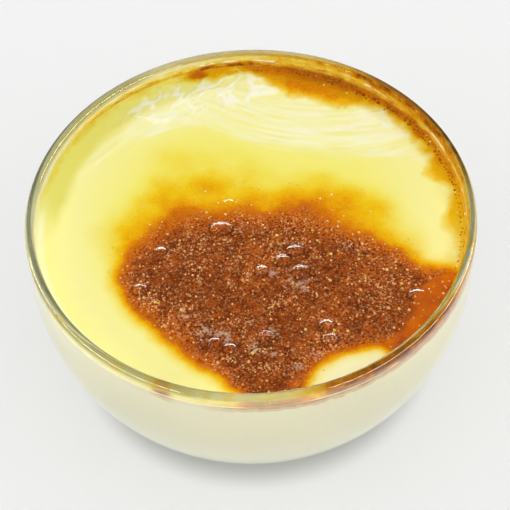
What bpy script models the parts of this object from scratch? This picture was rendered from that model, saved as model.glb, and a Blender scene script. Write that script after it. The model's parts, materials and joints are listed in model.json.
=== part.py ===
"""Baked rice pudding in a round clear glass bowl, filled to a few millimetres below the rim.

Metres, +Z up, the bowl standing on Z = 0 with its axis on the Z axis. Two nodes: the turned
glass bowl, and the pudding as one solid with its baked skin, wrinkles and blisters on top.
"""
import math

import bmesh
import bpy
from mathutils import Matrix

MM = 0.001

# Glass bowl
RIM_RADIUS = 60.0 * MM        # outside, at the top
BOWL_HEIGHT = 57.0 * MM
WALL = 2.6 * MM
LIP_FULLNESS = 2.1            # 2 rounds the lip fully, more flattens its top
STRAIGHT_DROP = 12.4 * MM     # the wall is upright this far below the rim
SIDE_ARC = 60.0 * MM          # curvature of the side, outside
HEEL_ARC = 26.5 * MM          # rounding between side and base, outside
BASE_THICK = 6.5 * MM
INNER_HEEL_ARC = 24.0 * MM    # rounding between side and floor, inside
LIP_SPANS = 8
TURN_STEPS = 64

# Pudding
GAP = 0.3 * MM                # between the pudding and the glass
SKIN_LEVEL = 51.3 * MM        # height of the level part of the skin
MENISCUS_RISE = 1.4 * MM      # how far the skin climbs at the wall
MENISCUS_LENGTH = 1.5 * MM    # inward distance in which most of that climb fades
SKIN_RINGS = 32
RING_CROWDING = 1.12          # above 1 the rings stand closer together at the wall
SIDE_ROWS = 3
HEEL_ROWS = 5

# The skin has sunk a little beside the wall at the back left.
TROUGH_RADIUS = 52.0 * MM
TROUGH_WIDTH = 2.6 * MM
TROUGH_DEPTH = 0.45 * MM
TROUGH_FROM = math.radians(98.0)
TROUGH_TO = math.radians(172.0)
TROUGH_FADE = math.radians(10.0)

# The browned area stands slightly proud: centre X, Y, half length, half width, height.
BROWNED_SWELL = (2.0 * MM, -22.0 * MM, 34.0 * MM, 27.0 * MM, 0.25 * MM)

# Wrinkles follow arcs: centre X, Y and arc radius in mm, from and to angle in degrees,
# half width and height in mm.
WRINKLES = (
    (0.0, 0.0, 48.6, 98.0, 150.0, 1.3, 0.22),
    (0.0, 0.0, 44.0, 104.0, 140.0, 1.6, 0.10),
    (26.0, 74.0, 51.0, 232.0, 284.0, 1.5, 0.14),
    (30.0, 92.0, 62.0, 240.0, 276.0, 1.4, 0.08),
    (-6.0, 30.0, 19.0, 66.0, 128.0, 1.4, 0.20),
    (14.0, 58.0, 15.0, 158.0, 232.0, 1.4, 0.14),
    (30.0, 28.0, 12.0, 20.0, 78.0, 1.1, 0.14),
)

# The wrinkles wander: sideways shift, and the lengths over which it repeats.
WANDER = 1.3 * MM
WANDER_NEAR = 3.1 * MM
WANDER_FAR = 5.3 * MM

# Blisters, mostly in the browned area: X, Y, half length, half width, height in mm.
BLISTERS = (
    (-8.0, -1.2, 3.2, 2.2, 0.75),
    (-5.8, 7.6, 1.8, 1.5, 0.50),
    (11.4, -9.4, 2.4, 1.8, 0.65),
    (8.2, -12.6, 2.2, 2.1, 0.70),
    (12.6, -16.6, 2.4, 2.3, 0.80),
    (2.4, -15.8, 1.9, 1.8, 0.65),
    (-24.2, -8.2, 1.7, 1.5, 0.50),
    (-29.6, -20.6, 2.3, 1.8, 0.50),
    (18.6, -34.0, 2.1, 1.7, 0.60),
    (19.2, -38.4, 2.3, 1.7, 0.60),
    (-10.4, -38.4, 1.8, 1.5, 0.50),
    (-6.4, -40.4, 2.0, 1.6, 0.55),
    (3.0, -37.0, 2.4, 1.9, 0.45),
    (42.6, -25.2, 2.6, 1.8, 0.50),
)

# Materials: colour, roughness, metallic, transmission
GLASS_LOOK = ((0.80, 0.86, 0.82), 0.03, 0.0, 1.0)
PUDDING_LOOK = ((0.90, 0.84, 0.42), 0.35, 0.0, 0.0)

SIDE_CENTRE_R = RIM_RADIUS - SIDE_ARC
SIDE_CENTRE_Z = BOWL_HEIGHT - STRAIGHT_DROP


def clear_scene():
    """Remove every object and every collection."""
    for obj in list(bpy.data.objects):
        bpy.data.objects.remove(obj, do_unlink=True)
    for collection in list(bpy.data.collections):
        bpy.data.collections.remove(collection)


def make_material(name, look):
    """A Principled material from colour, roughness, metallic and transmission."""
    colour, roughness, metallic, transmission = look
    material = bpy.data.materials.new(name)
    material.use_nodes = True
    shader = material.node_tree.nodes["Principled BSDF"]
    shader.inputs["Base Color"].default_value = (*colour, 1.0)
    shader.inputs["Roughness"].default_value = roughness
    shader.inputs["Metallic"].default_value = metallic
    shader.inputs["Transmission Weight"].default_value = transmission
    return material


def arc(centre_r, centre_z, radius, start, end, count):
    """count + 1 points (r, z) along an arc, both ends included."""
    points = []
    for i in range(count + 1):
        angle = start + (end - start) * i / count
        points.append((centre_r + radius * math.cos(angle), centre_z + radius * math.sin(angle)))
    return points


def heel_centre(inset, floor_z, heel_radius):
    """Centre (r, z) of the arc that joins the floor to the side set in by inset."""
    centre_z = floor_z + heel_radius
    reach = SIDE_ARC - inset - heel_radius
    centre_r = SIDE_CENTRE_R + math.sqrt(reach ** 2 - (SIDE_CENTRE_Z - centre_z) ** 2)
    return centre_r, centre_z


def side_and_heel(inset, floor_z, heel_radius, side_count, heel_count):
    """Side and heel from the upright part down to the floor, as (r, z) points."""
    heel_r, heel_z = heel_centre(inset, floor_z, heel_radius)
    join = math.atan2(heel_z - SIDE_CENTRE_Z, heel_r - SIDE_CENTRE_R)
    side = arc(SIDE_CENTRE_R, SIDE_CENTRE_Z, SIDE_ARC - inset, 0.0, join, side_count)
    heel = arc(heel_r, heel_z, heel_radius, join, -math.pi / 2, heel_count)
    return side + heel[1:]


def lip_points():
    """The lip from the inside over its rounded top to the outside, as (r, z) points."""
    half = WALL / 2
    points = []
    for i in range(LIP_SPANS + 1):
        angle = math.pi * (1.0 - i / LIP_SPANS)
        out = math.copysign(abs(math.cos(angle)) ** (2.0 / LIP_FULLNESS), math.cos(angle))
        up = max(math.sin(angle), 0.0) ** (2.0 / LIP_FULLNESS)
        points.append((RIM_RADIUS - half + half * out, BOWL_HEIGHT - half + half * up))
    return points


def bowl_profile():
    """Closed outline from the floor's middle, up inside, over the lip and down outside."""
    inside = side_and_heel(WALL, BASE_THICK, INNER_HEEL_ARC, 5, 6)
    outside = side_and_heel(0.0, 0.0, HEEL_ARC, 5, 7)
    return [(0.0, BASE_THICK)] + inside[::-1] + lip_points() + outside + [(0.0, 0.0)]


def make_bowl(material, collection):
    """The glass bowl, turned about Z with a Screw modifier."""
    bm = bmesh.new()
    points = [bm.verts.new((r, 0.0, z)) for r, z in bowl_profile()]
    for first, second in zip(points, points[1:]):
        bm.edges.new((first, second))
    mesh = bpy.data.meshes.new("glass_bowl")
    bm.to_mesh(mesh)
    bm.free()
    bowl = bpy.data.objects.new("glass_bowl", mesh)
    collection.objects.link(bowl)
    screw = bowl.modifiers.new("Turn", "SCREW")
    screw.axis = "Z"
    screw.angle = 2 * math.pi
    screw.steps = TURN_STEPS
    screw.render_steps = TURN_STEPS
    screw.use_merge_vertices = True
    screw.merge_threshold = 1e-5
    screw.use_smooth_shade = True
    mesh.materials.append(material)
    return bowl


def inner_radius(z):
    """Inside radius of the glass at height z, above the heel."""
    below = max(0.0, SIDE_CENTRE_Z - z)
    return SIDE_CENTRE_R + math.sqrt((SIDE_ARC - WALL) ** 2 - below ** 2)


def fade(value, low, high, width):
    """1 between low and high, falling smoothly to 0 over width outside them."""
    outside = max(low - value, value - high, 0.0)
    return math.exp(-(outside / width) ** 2)


def blister_height(x, y):
    """Height of the blisters above the skin at (x, y)."""
    height = 0.0
    for centre_x, centre_y, half_x, half_y, top in BLISTERS:
        across = math.hypot((x - centre_x * MM) / half_x, (y - centre_y * MM) / half_y) / MM
        if across < 1.0:
            height = max(height, top * MM * (1.0 - across ** 2))
    return height


def wandered(x, y):
    """The place whose wrinkles show at (x, y), shifted sideways so that they wander."""
    shift_x = math.sin(y / WANDER_NEAR + 0.7) + 0.6 * math.sin((x + y) / WANDER_FAR)
    shift_y = math.sin(x / WANDER_NEAR + 2.1) + 0.6 * math.sin((x - y) / WANDER_FAR + 1.0)
    return x + WANDER * shift_x, y + WANDER * shift_y


def wrinkle_height(x, y):
    """Height of the wrinkles above the skin at (x, y)."""
    height = 0.0
    moved_x, moved_y = wandered(x, y)
    for centre_x, centre_y, radius, start, end, half_width, top in WRINKLES:
        dx = moved_x - centre_x * MM
        dy = moved_y - centre_y * MM
        off = (math.hypot(dx, dy) - radius * MM) / (half_width * MM)
        turn = math.degrees(math.atan2(dy, dx)) % 360.0
        height += top * MM * math.exp(-off * off) * fade(turn, start, end, 7.0)
    return height


def skin_height(x, y):
    """Height of the top of the pudding at (x, y)."""
    radius = math.hypot(x, y)
    turn = math.atan2(y, x) % (2 * math.pi)
    wall = inner_radius(SKIN_LEVEL) - GAP
    meniscus = MENISCUS_RISE * math.exp((radius - wall) / MENISCUS_LENGTH)
    trough = TROUGH_DEPTH * math.exp(-((radius - TROUGH_RADIUS) / TROUGH_WIDTH) ** 2)
    trough *= fade(turn, TROUGH_FROM, TROUGH_TO, TROUGH_FADE)
    swell_x, swell_y, half_x, half_y, swell = BROWNED_SWELL
    off = math.hypot((x - swell_x) / half_x, (y - swell_y) / half_y)
    browned = swell * math.exp(-off ** 4)
    calm = min(1.0, max(0.0, (wall - radius) / MENISCUS_LENGTH))
    relief = calm * (wrinkle_height(x, y) + blister_height(x, y))
    return SKIN_LEVEL + meniscus - trough + browned + relief


def hexagon_to_disc(x, y):
    """(share of the radius, angle) for a point of a hexagon with a corner at X = 1."""
    angle = math.atan2(y, x) % (2 * math.pi)
    sector = math.floor(angle / (math.pi / 3))
    low = sector * math.pi / 3
    high = low + math.pi / 3
    # Weights of the sector's two corners at this point
    span = math.sin(high - low)
    first = (x * math.sin(high) - y * math.cos(high)) / span
    second = (y * math.cos(low) - x * math.sin(low)) / span
    share = first + second
    along = second / share if share > 1e-9 else 0.0
    return share, low + along * math.pi / 3


def make_pudding(material, collection):
    """One solid: a skin of rings, its edge extruded down the glass, and a closed floor."""
    bm = bmesh.new()
    corner_on_x = Matrix.Rotation(math.pi / 6, 4, "Z")
    bmesh.ops.create_circle(
        bm, cap_ends=True, cap_tris=True, segments=6, radius=1.0, matrix=corner_on_x
    )
    bmesh.ops.subdivide_edges(bm, edges=bm.edges[:], cuts=SKIN_RINGS - 1, use_grid_fill=True)
    wall = inner_radius(SKIN_LEVEL) - GAP
    for vert in bm.verts:
        share, angle = hexagon_to_disc(vert.co.x, vert.co.y)
        radius = wall * (1.0 - max(0.0, 1.0 - share) ** RING_CROWDING)
        x = radius * math.cos(angle)
        y = radius * math.sin(angle)
        vert.co = (x, y, skin_height(x, y))
    edge = [e for e in bm.edges if e.is_boundary]
    profile = side_and_heel(WALL + GAP, BASE_THICK + GAP, INNER_HEEL_ARC - GAP, SIDE_ROWS, HEEL_ROWS)
    for r, z in profile:
        made = bmesh.ops.extrude_edge_only(bm, edges=edge)["geom"]
        for vert in [g for g in made if isinstance(g, bmesh.types.BMVert)]:
            scale = r / math.hypot(vert.co.x, vert.co.y)
            vert.co = (vert.co.x * scale, vert.co.y * scale, z)
        edge = [g for g in made if isinstance(g, bmesh.types.BMEdge) and g.is_boundary]
    bmesh.ops.contextual_create(bm, geom=edge)
    bmesh.ops.recalc_face_normals(bm, faces=bm.faces[:])
    bmesh.ops.triangulate(bm, faces=[f for f in bm.faces if len(f.verts) > 4])
    for face in bm.faces:
        face.smooth = True
    mesh = bpy.data.meshes.new("pudding")
    bm.to_mesh(mesh)
    bm.free()
    mesh.materials.append(material)
    pudding = bpy.data.objects.new("pudding", mesh)
    collection.objects.link(pudding)
    return pudding


def main():
    clear_scene()
    collection = bpy.data.collections.new("baked_rice_pudding")
    bpy.context.scene.collection.children.link(collection)
    make_bowl(make_material("clear_glass", GLASS_LOOK), collection)
    make_pudding(make_material("pudding_skin", PUDDING_LOOK), collection)


main()
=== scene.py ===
"""Baked rice pudding in a clear glass bowl: glass, set pudding with its browned skin, the baked-on
film round the wall, bubbles and toasted specks, and a plain studio stage.

Laid out as an add-on: settings in property groups, one operator for each piece or group of like
pieces, a panel that lists them, and main(), which builds everything in order.
"""

import json
import math

import bmesh
import bpy
import numpy as np
from bpy.props import FloatProperty, FloatVectorProperty, IntProperty, PointerProperty
from mathutils import Matrix, Vector

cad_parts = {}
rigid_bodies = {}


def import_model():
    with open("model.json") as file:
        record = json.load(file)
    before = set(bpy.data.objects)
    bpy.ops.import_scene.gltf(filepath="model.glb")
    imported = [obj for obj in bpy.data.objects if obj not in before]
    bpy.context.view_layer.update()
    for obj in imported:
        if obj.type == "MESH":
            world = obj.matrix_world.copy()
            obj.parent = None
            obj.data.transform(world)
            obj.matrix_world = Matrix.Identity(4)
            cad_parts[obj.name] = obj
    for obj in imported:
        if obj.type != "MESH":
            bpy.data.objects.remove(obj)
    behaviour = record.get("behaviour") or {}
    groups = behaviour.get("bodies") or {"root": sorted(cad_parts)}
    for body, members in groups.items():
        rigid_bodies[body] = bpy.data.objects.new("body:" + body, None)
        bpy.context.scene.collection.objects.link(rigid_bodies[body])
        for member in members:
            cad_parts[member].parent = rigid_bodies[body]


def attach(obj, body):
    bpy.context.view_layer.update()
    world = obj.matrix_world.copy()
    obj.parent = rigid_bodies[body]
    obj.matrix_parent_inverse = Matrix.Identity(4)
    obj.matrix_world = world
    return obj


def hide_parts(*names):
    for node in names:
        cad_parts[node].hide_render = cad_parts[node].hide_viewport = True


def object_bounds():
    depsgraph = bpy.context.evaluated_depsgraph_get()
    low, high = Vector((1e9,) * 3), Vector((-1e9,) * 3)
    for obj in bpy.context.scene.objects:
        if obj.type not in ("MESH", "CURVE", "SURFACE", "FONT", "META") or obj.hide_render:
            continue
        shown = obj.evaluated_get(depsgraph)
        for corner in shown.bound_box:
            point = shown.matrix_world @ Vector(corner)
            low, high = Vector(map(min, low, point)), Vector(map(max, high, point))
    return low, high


bl_info = {
    "name": "Baked Rice Pudding",
    "version": (1, 0, 0),
    "blender": (4, 5, 0),
    "location": "View3D > Sidebar > Pudding",
    "description": "Builds a baked rice pudding in a clear glass bowl",
    "category": "Object",
}

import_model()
CAD_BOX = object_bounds()
RIM_RADIUS = CAD_BOX[1].x
BOWL_HEIGHT = CAD_BOX[1].z
MM = 0.001


# ---------------------------------------------------------------- settings

def length(name, description, default):
    """A length setting in metres."""
    return FloatProperty(
        name=name, description=description, default=default, min=0.0, precision=5, unit="LENGTH"
    )


def colour(name, description, default):
    """A linear colour setting."""
    return FloatVectorProperty(
        name=name, description=description, default=default, min=0.0, max=1.0, size=3,
        subtype="COLOR",
    )


class BowlSettings(bpy.types.PropertyGroup):
    """Sizes and colour of the glass bowl."""

    wall: length("Wall", "Thickness of the wall, which the lip is rounded to", 2.6 * MM)
    straight_drop: length("Straight drop", "How far the wall is upright below the rim", 12.4 * MM)
    side_arc: length("Side arc", "Outside curvature of the side", 60.0 * MM)
    heel_arc: length("Heel arc", "Outside rounding between side and base", 26.5 * MM)
    base_thick: length("Base", "Thickness of the base", 6.5 * MM)
    inner_heel_arc: length("Inner heel arc", "Rounding between side and floor", 24.0 * MM)
    lip_fullness: FloatProperty(
        name="Lip fullness", description="2 rounds the lip fully, more flattens its top",
        default=2.1, min=2.0,
    )
    steps: IntProperty(name="Steps", description="Facets round the bowl", default=288, min=32)
    glass: colour("Glass", "Tint of light that the glass lets through", (0.96, 0.98, 0.95))
    lip: colour("Lip", "Tint of the lip, where the glass is seen edge on", (0.80, 0.79, 0.47))
    # The lip's brown: partly a baked-on stain, partly painted refraction of the film inside the
    # wall.
    stain: colour("Stain", "Tint of the lip where it is browned", (0.26, 0.055, 0.0006))


class PuddingSettings(bpy.types.PropertyGroup):
    """Sizes and colours of the pudding and its skin."""

    skin_level: length("Skin level", "Height of the level part of the skin", 51.3 * MM)
    meniscus_rise: length("Meniscus rise", "How far the skin climbs at the wall", 1.4 * MM)
    meniscus_length: length("Meniscus length", "Inward reach of that climb", 1.5 * MM)
    embed: length("Embed", "How far the pudding reaches into the glass", 0.06 * MM)
    rings: IntProperty(name="Rings", description="Rings of the skin's mesh", default=148, min=16)
    skin: colour("Skin", "Pale skin", (0.93, 0.85, 0.200))
    # Colour of the painted sheen: the pale skin is painted this whiter colour where it mirrors
    # light.
    painted_sheen: colour("Gleam", "Pale skin where it gleams", (1.0, 0.97, 0.72))
    cream: colour("Cream", "Inside of the pudding, seen through the glass", (0.79, 0.75, 0.515))


class BrownSettings(bpy.types.PropertyGroup):
    """Colours of the browned parts."""

    gold: colour("Gold", "Lightly baked skin", (0.885, 0.565, 0.008))
    amber: colour("Amber", "Baked skin", (0.70, 0.198, 0.0015))
    brown: colour("Brown", "Browned skin", (0.51, 0.102, 0.009))
    film: colour("Film", "Tint of the film baked onto the wall", (0.68, 0.36, 0.015))


class StageSettings(bpy.types.PropertyGroup):
    """Camera, floor and light."""

    elevation: FloatProperty(
        name="Elevation", description="Camera above the horizon", default=math.radians(51.97),
        subtype="ANGLE",
    )
    roll: FloatProperty(
        name="Roll", description="Camera turned about its view", default=math.radians(1.92),
        subtype="ANGLE",
    )
    distance: length("Distance", "From the camera to the middle of the rim's plane", 0.52)
    lens: FloatProperty(name="Lens", description="Focal length in mm", default=140.85, min=10.0)
    floor: colour("Floor", "Floor", (0.42, 0.42, 0.42))
    glow: FloatProperty(name="Glow", description="Light the floor gives off itself", default=0.455)
    sky: FloatProperty(name="Sky", description="Strength of the light from all round", default=0.85)


# ---------------------------------------------------------------- shapes shared by the pieces

# The browned area's edge, where it is amber, round from its left end, as X, Y in mm.
BROWNED_EDGE = (
    (-35, -13), (-35, -18.5), (-32, -25.5), (-28.5, -30), (-25, -34), (-21.5, -38.5), (-18.4, -42),
    (-13.6, -46), (-8.8, -50), (-4, -55), (-2, -61), (11, -61), (13.4, -51), (16.5, -46),
    (20.5, -43.4), (25, -42), (32, -41), (38, -44), (50, -38), (60, -26), (59, -18.5), (52, -16.8),
    (45.5, -16), (40, -10.2), (35, -6.5), (30, -2.5), (25, 2), (20, 5), (15, 7), (10, 7.5),
    (5, 6.5), (0, 7), (-5, 6.5), (-10, 5.5), (-15, 7), (-20, 8), (-25, 4), (-30, -1.5),
    (-33.2, -6.5),
)

# Inside it, a smooth amber part beside the wall, without grain.
SMOOTH_EDGE = (
    (50, -18.6), (46, -21), (42.4, -24), (41.2, -28), (40.4, -32), (37.8, -36), (34, -39.5),
    (30, -41.5), (36, -50), (62, -34), (62, -16),
)

# Softly baked spots outside it: X, Y, half length, half width in mm, turn in degrees, depth.
BAKED_SPOTS = (
    (-11, 15, 7, 4.6, -8, 0.24), (-11, 21.5, 13, 6, -4, 0.1), (-22, 25, 5, 5, 0, 0.05),
    (-24.5, 14, 4.5, 5, 20, 0.09), (2, 18, 6, 4.5, 0, 0.06), (20, 14.5, 4, 3.6, 0, 0.13),
    (13, 10, 6, 3, 0, 0.08), (28, 8, 6, 5, -35, 0.17), (34, 3, 5, 7, -15, 0.17),
    (22, 7.5, 8, 4.5, -8, 0.11), (-18, 8, 6.5, 4, 0, 0.13), (-13.5, 54.6, 4.2, 1.5, 10, 0.62),
    (-5, 55.6, 5, 1.1, 3, 0.36),
)

# Azimuth in degrees, radius in mm from which the skin is baked beside the wall, the width in mm
# over which that grows, how far at the wall, and how much painted shade darkens it there.
WALL_BAKING = (
    (-20, 56, 1.5, 0.34, 0.14), (-14, 54.6, 2.5, 0.4, 0.16), (-8, 53.6, 3.4, 0.3, 0.16),
    (-2, 50, 3.6, 0.3, 0.16), (2, 50.6, 4, 0.36, 0.14), (7, 54, 2.4, 0.28, 0.14),
    (11, 54.4, 2.4, 0.3, 0.14), (15, 50.6, 3.4, 0.37, 0.14), (19, 49.6, 3.6, 0.38, 0.16),
    (23, 52.6, 3, 0.36, 0.16), (28, 51.9, 3.6, 0.4, 0.18), (34, 52.9, 3, 0.44, 0.2),
    (40, 52.3, 3.4, 0.46, 0.2), (46, 54, 2, 0.46, 0.22), (52, 50.9, 4.8, 0.44, 0.2),
    (58, 47.8, 4.4, 0.48, 0.24), (64, 46.2, 5, 0.54, 0.26), (70, 47.6, 4, 0.54, 0.26),
    (76, 46, 5, 0.56, 0.26), (82, 49.6, 4.5, 0.44, 0.2), (88, 54, 3, 0.4, 0.18),
    (94, 55.4, 2, 0.3, 0.14), (100, 52.6, 3, 0.36, 0.15), (106, 54.6, 2, 0.3, 0.16),
    (112, 55.6, 2, 0.2, 0.14), (124, 56, 2, 0.16, 0.12), (150, 56, 1.4, 0.18, 0.14),
    (170, 56, 2, 0.12, 0.14), (180, 57.4, 2, 0, 0.1), (210, 57.4, 2, 0, 0.05), (240, 57.4, 2, 0, 0),
    (340, 57.4, 2, 0, 0),
)

# Wrinkles follow arcs: centre X, Y and arc radius in mm, from and to angle in degrees,
# half width and height in mm.
WRINKLES = (
    (0, 0, 48.6, 98, 150, 1.3, 0.22), (0, 0, 44, 104, 140, 1.6, 0.1),
    (26, 74, 51, 232, 284, 1.5, 0.14), (30, 92, 62, 240, 276, 1.4, 0.08),
    (-6, 30, 19, 66, 128, 1.4, 0.2), (14, 58, 15, 158, 232, 1.4, 0.14),
    (30, 28, 12, 20, 78, 1.1, 0.14),
)

# Blisters: X, Y, half length, half width, height in mm.
BLISTERS = (
    (-8, -1.2, 3.2, 2.2, 0.75), (-5.8, 7.6, 1.8, 1.5, 0.5), (11.4, -9.4, 2.4, 1.8, 0.65),
    (8.2, -12.6, 2.2, 2.1, 0.7), (12.6, -16.6, 2.4, 2.3, 0.8), (2.4, -15.8, 1.9, 1.8, 0.65),
    (-24.2, -8.2, 1.7, 1.5, 0.5), (-29.6, -20.6, 2.3, 1.8, 0.5), (18.6, -34, 2.1, 1.7, 0.6),
    (19.2, -38.4, 2.3, 1.7, 0.6), (-10.4, -38.4, 1.8, 1.5, 0.5), (-6.4, -40.4, 2, 1.6, 0.55),
    (3, -37, 2.4, 1.9, 0.45), (42.6, -25.2, 2.6, 1.8, 0.5),
)

# The wrinkles wander: sideways shift, and the lengths over which it repeats.
WANDER = 1.3 * MM
WANDER_LENGTHS = (3.1 * MM, 5.3 * MM)

# Regions of the skin: from and to azimuth with its fading in degrees, then from and to radius
# with its fading in mm. A trough and a hollow darkened by painted shade run along the wall at the
# back left, where the skin is crumpled, with painted highlights on its folds, and, nearer the
# middle, swept along the wall.
TROUGH = (98.0, 172.0, 10.0, 52.0, 52.0, 2.6)
TROUGH_DEPTH = 0.45 * MM
HOLLOW = (106.0, 168.0, 10.0, 53.0, 56.0, 2.2)
CRUMPLED = (84.0, 124.0, 9.0, 45.0, 54.0, 2.6)
CRUMPLED_EDGE = (100.0, 135.0, 8.0, 49.0, 56.0, 1.5)
CRUMPLED_GLEAM = (84.0, 122.0, 8.0, 45.0, 53.0, 2.0)
SWEPT = (105.0, 165.0, 10.0, 36.0, 50.0, 4.0)

# The browned skin's swell: X, Y, half length, half width and height in mm.
BROWNED_SWELL = (2.0, -22.0, 34.0, 27.0, 0.25)

# Patches of the skin at the back, as from, to and fading in X and in Y: one with long folds drawn
# out from side to side, and a crumpled one at the right that glints.
DRAWN = ((-4.0 * MM, 34.0 * MM, 6.0 * MM), (25.0 * MM, 42.0 * MM, 3.0 * MM))
GLINTING = ((33.0 * MM, 41.0 * MM, 2.5 * MM), (32.0 * MM, 41.0 * MM, 2.5 * MM))
# The patch of the crumpled skin that is painted whiter, as a painted highlight.
GLINT_GLEAM = ((33.5 * MM, 40.0 * MM, 2.0 * MM), (34.0 * MM, 41.0 * MM, 2.0 * MM))

# Heights of the fine wrinkles in those regions and patches.
CRUMPLED_HEIGHT = 0.42 * MM
CRUMPLED_EDGE_HEIGHT = 0.16 * MM
DRAWN_HEIGHT = 0.045 * MM
SWEPT_HEIGHT = 0.035 * MM
GLINTING_HEIGHT = 0.14 * MM

# The long streaks at the back bow about this X, by the square of the distance over this length.
BOW_MIDDLE = 24.0 * MM
BOW_LENGTH = 110.0 * MM

# The browned area's edge is crisp in front of about this Y and soft behind it.
SOFT_EDGE_Y = -6.0 * MM

# Beside the wall at the right and the back the skin is baked a little more: how much, from which
# radius and over which width, and from and to azimuth with its fading in degrees.
EXTRA_BAKING = 0.16
EXTRA_START, EXTRA_WIDTH = 54.6 * MM, 1.8 * MM
EXTRA_SPAN = (14.0, 92.0, 8.0)

# The painted shade beside the wall starts at this radius and is full this much further out. In
# the hollow the painted shade is at least as dark as this.
SHADE_START, SHADE_WIDTH = 50.5 * MM, 5.5 * MM
HOLLOW_SHADE = 0.20

# The grain starts at this level of baking and is full this much above it. It is calmer outside
# this radius, over this width, behind this Y.
GRAIN_START, GRAIN_RISE = 0.50, 0.34
CALM_START, CALM_WIDTH, CALM_Y = 44.0 * MM, 4.0 * MM, -10.0 * MM


def arc(centre_r, centre_z, radius, start, end, count):
    """count + 1 points (r, z) along an arc, both ends included."""
    angles = start + (end - start) * np.arange(count + 1) / count
    return [(centre_r + radius * math.cos(a), centre_z + radius * math.sin(a)) for a in angles]


def lip_points(bowl, count):
    """The lip as (r, z) points from the inside over its rounded top to the outside."""
    half = bowl.wall / 2
    points = []
    for angle in math.pi - math.pi * np.arange(count + 1) / count:
        c, s = math.cos(angle), math.sin(angle)
        out = math.copysign(abs(c) ** (2.0 / bowl.lip_fullness), c)
        up = max(s, 0.0) ** (2.0 / bowl.lip_fullness)
        points.append((RIM_RADIUS - half + half * out, BOWL_HEIGHT - half + half * up))
    return points


def side_and_heel(bowl, inset, floor_z, heel_radius, side_count, heel_count):
    """Side and heel from the upright part down to the floor, as (r, z) points."""
    side_r = RIM_RADIUS - bowl.side_arc
    side_z = BOWL_HEIGHT - bowl.straight_drop
    heel_z = floor_z + heel_radius
    reach = bowl.side_arc - inset - heel_radius
    heel_r = side_r + math.sqrt(reach ** 2 - (side_z - heel_z) ** 2)
    join = math.atan2(heel_z - side_z, heel_r - side_r)
    side = arc(side_r, side_z, bowl.side_arc - inset, 0.0, join, side_count)
    heel = arc(heel_r, heel_z, heel_radius, join, -math.pi / 2, heel_count)
    return side + heel[1:]


def smooth_noise(x, y, seed):
    """Seeded value noise from -1 to 1, one bump for each unit of x and y."""
    xi = np.floor(x).astype(np.int64)
    yi = np.floor(y).astype(np.int64)
    u = (x - xi) ** 2 * (3 - 2 * (x - xi))
    v = (y - yi) ** 2 * (3 - 2 * (y - yi))

    def corner(i, j):
        """The random value at a lattice point."""
        h = (i * 374761393 + j * 668265263 + seed * 362437) & 0xFFFFFFFF
        h = ((h ^ (h >> 13)) * 1274126177) & 0xFFFFFFFF
        return (h ^ (h >> 16)) / 0x7FFFFFFF - 1.0

    low = corner(xi, yi) * (1 - u) + corner(xi + 1, yi) * u
    high = corner(xi, yi + 1) * (1 - u) + corner(xi + 1, yi + 1) * u
    return low * (1 - v) + high * v


def layered_noise(x, y, size, seed, layers=4):
    """Smooth noise of that size in metres, with finer layers added."""
    total = np.zeros_like(x)
    for k in range(layers):
        grow = 2.0 ** k / size
        total += smooth_noise(x * grow + 17.3 * k, y * grow - 9.1 * k, seed + k) * 0.5 ** k
    return total / (2.0 - 0.5 ** (layers - 1))


def fade(value, low, high, width):
    """1 between low and high, falling smoothly to 0 over width outside them."""
    outside = np.maximum(np.maximum(low - value, value - high), 0.0)
    return np.exp(-(outside / width) ** 2)


def clipped(values):
    """Values limited to 0 to 1."""
    return np.clip(values, 0.0, 1.0)


def rising(value, start, width):
    """0 up to start, then rising evenly to 1 over width."""
    return clipped((value - start) / width)


def look_up(table, azimuth):
    """The value at azimuth of a table that gives values round the bowl."""
    return np.interp(azimuth, *np.array(table).T)


def soft_step(value, width):
    """0 to 1 as value passes 0, smoothly, steeper with less width."""
    return 1.0 / (1.0 + np.exp(-value / width))


def off_centre(x, y, spot_x, spot_y, half_x, half_y, turn=0.0):
    """Distance from an ellipse's middle, 1 on its edge. It is in mm, and turned by degrees."""
    c, s = math.cos(math.radians(turn)), math.sin(math.radians(turn))
    dx, dy = x / MM - spot_x, y / MM - spot_y
    return np.hypot((dx * c + dy * s) / half_x, (dy * c - dx * s) / half_y)


def polar(x, y):
    """Azimuth in degrees from 0 to 360, and radius."""
    return np.degrees(np.arctan2(y, x)) % 360.0, np.hypot(x, y)


def in_region(turn, radius, region):
    """1 in a region of the skin, falling smoothly to 0 outside it."""
    first, last, turn_width, inner, outer, radius_width = region
    return fade(turn, first, last, turn_width) * fade(radius / MM, inner, outer, radius_width)


def in_patch(x, y, patch):
    """1 in a patch of the skin, falling smoothly to 0 outside it."""
    return fade(x, *patch[0]) * fade(y, *patch[1])


def bow(x):
    """How far the long streaks at the back bow at x."""
    return (x - BOW_MIDDLE) ** 2 / BOW_LENGTH


def closed_curve(points, per_span):
    """Points along a smooth closed curve through the given points, in metres."""
    p = np.array(points) * MM
    before, after, later = np.roll(p, 1, 0), np.roll(p, -1, 0), np.roll(p, -2, 0)
    out = []
    for t in np.arange(per_span) / per_span:
        out.append(0.5 * (2 * p + (after - before) * t
                          + (2 * before - 5 * p + 4 * after - later) * t ** 2
                          + (3 * p - before - 3 * after + later) * t ** 3))
    return np.stack(out, 1).reshape(-1, 2)


def depth_inside(x, y, loop):
    """Distance to a closed loop, positive inside it, for arrays x and y."""
    nearest = np.full(x.shape, 1e9)
    inside = np.zeros(x.shape, bool)
    for (ax, ay), (bx, by) in zip(loop, np.roll(loop, -1, 0)):
        ex, ey = bx - ax, by - ay
        t = np.clip(((x - ax) * ex + (y - ay) * ey) / (ex * ex + ey * ey), 0.0, 1.0)
        nearest = np.minimum(nearest, np.hypot(x - ax - t * ex, y - ay - t * ey))
        crosses = (ay > y) != (by > y)
        inside ^= crosses & (x < ax + (y - ay) * ex / (ey if ey else 1e-12))
    return np.where(inside, nearest, -nearest)


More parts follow.
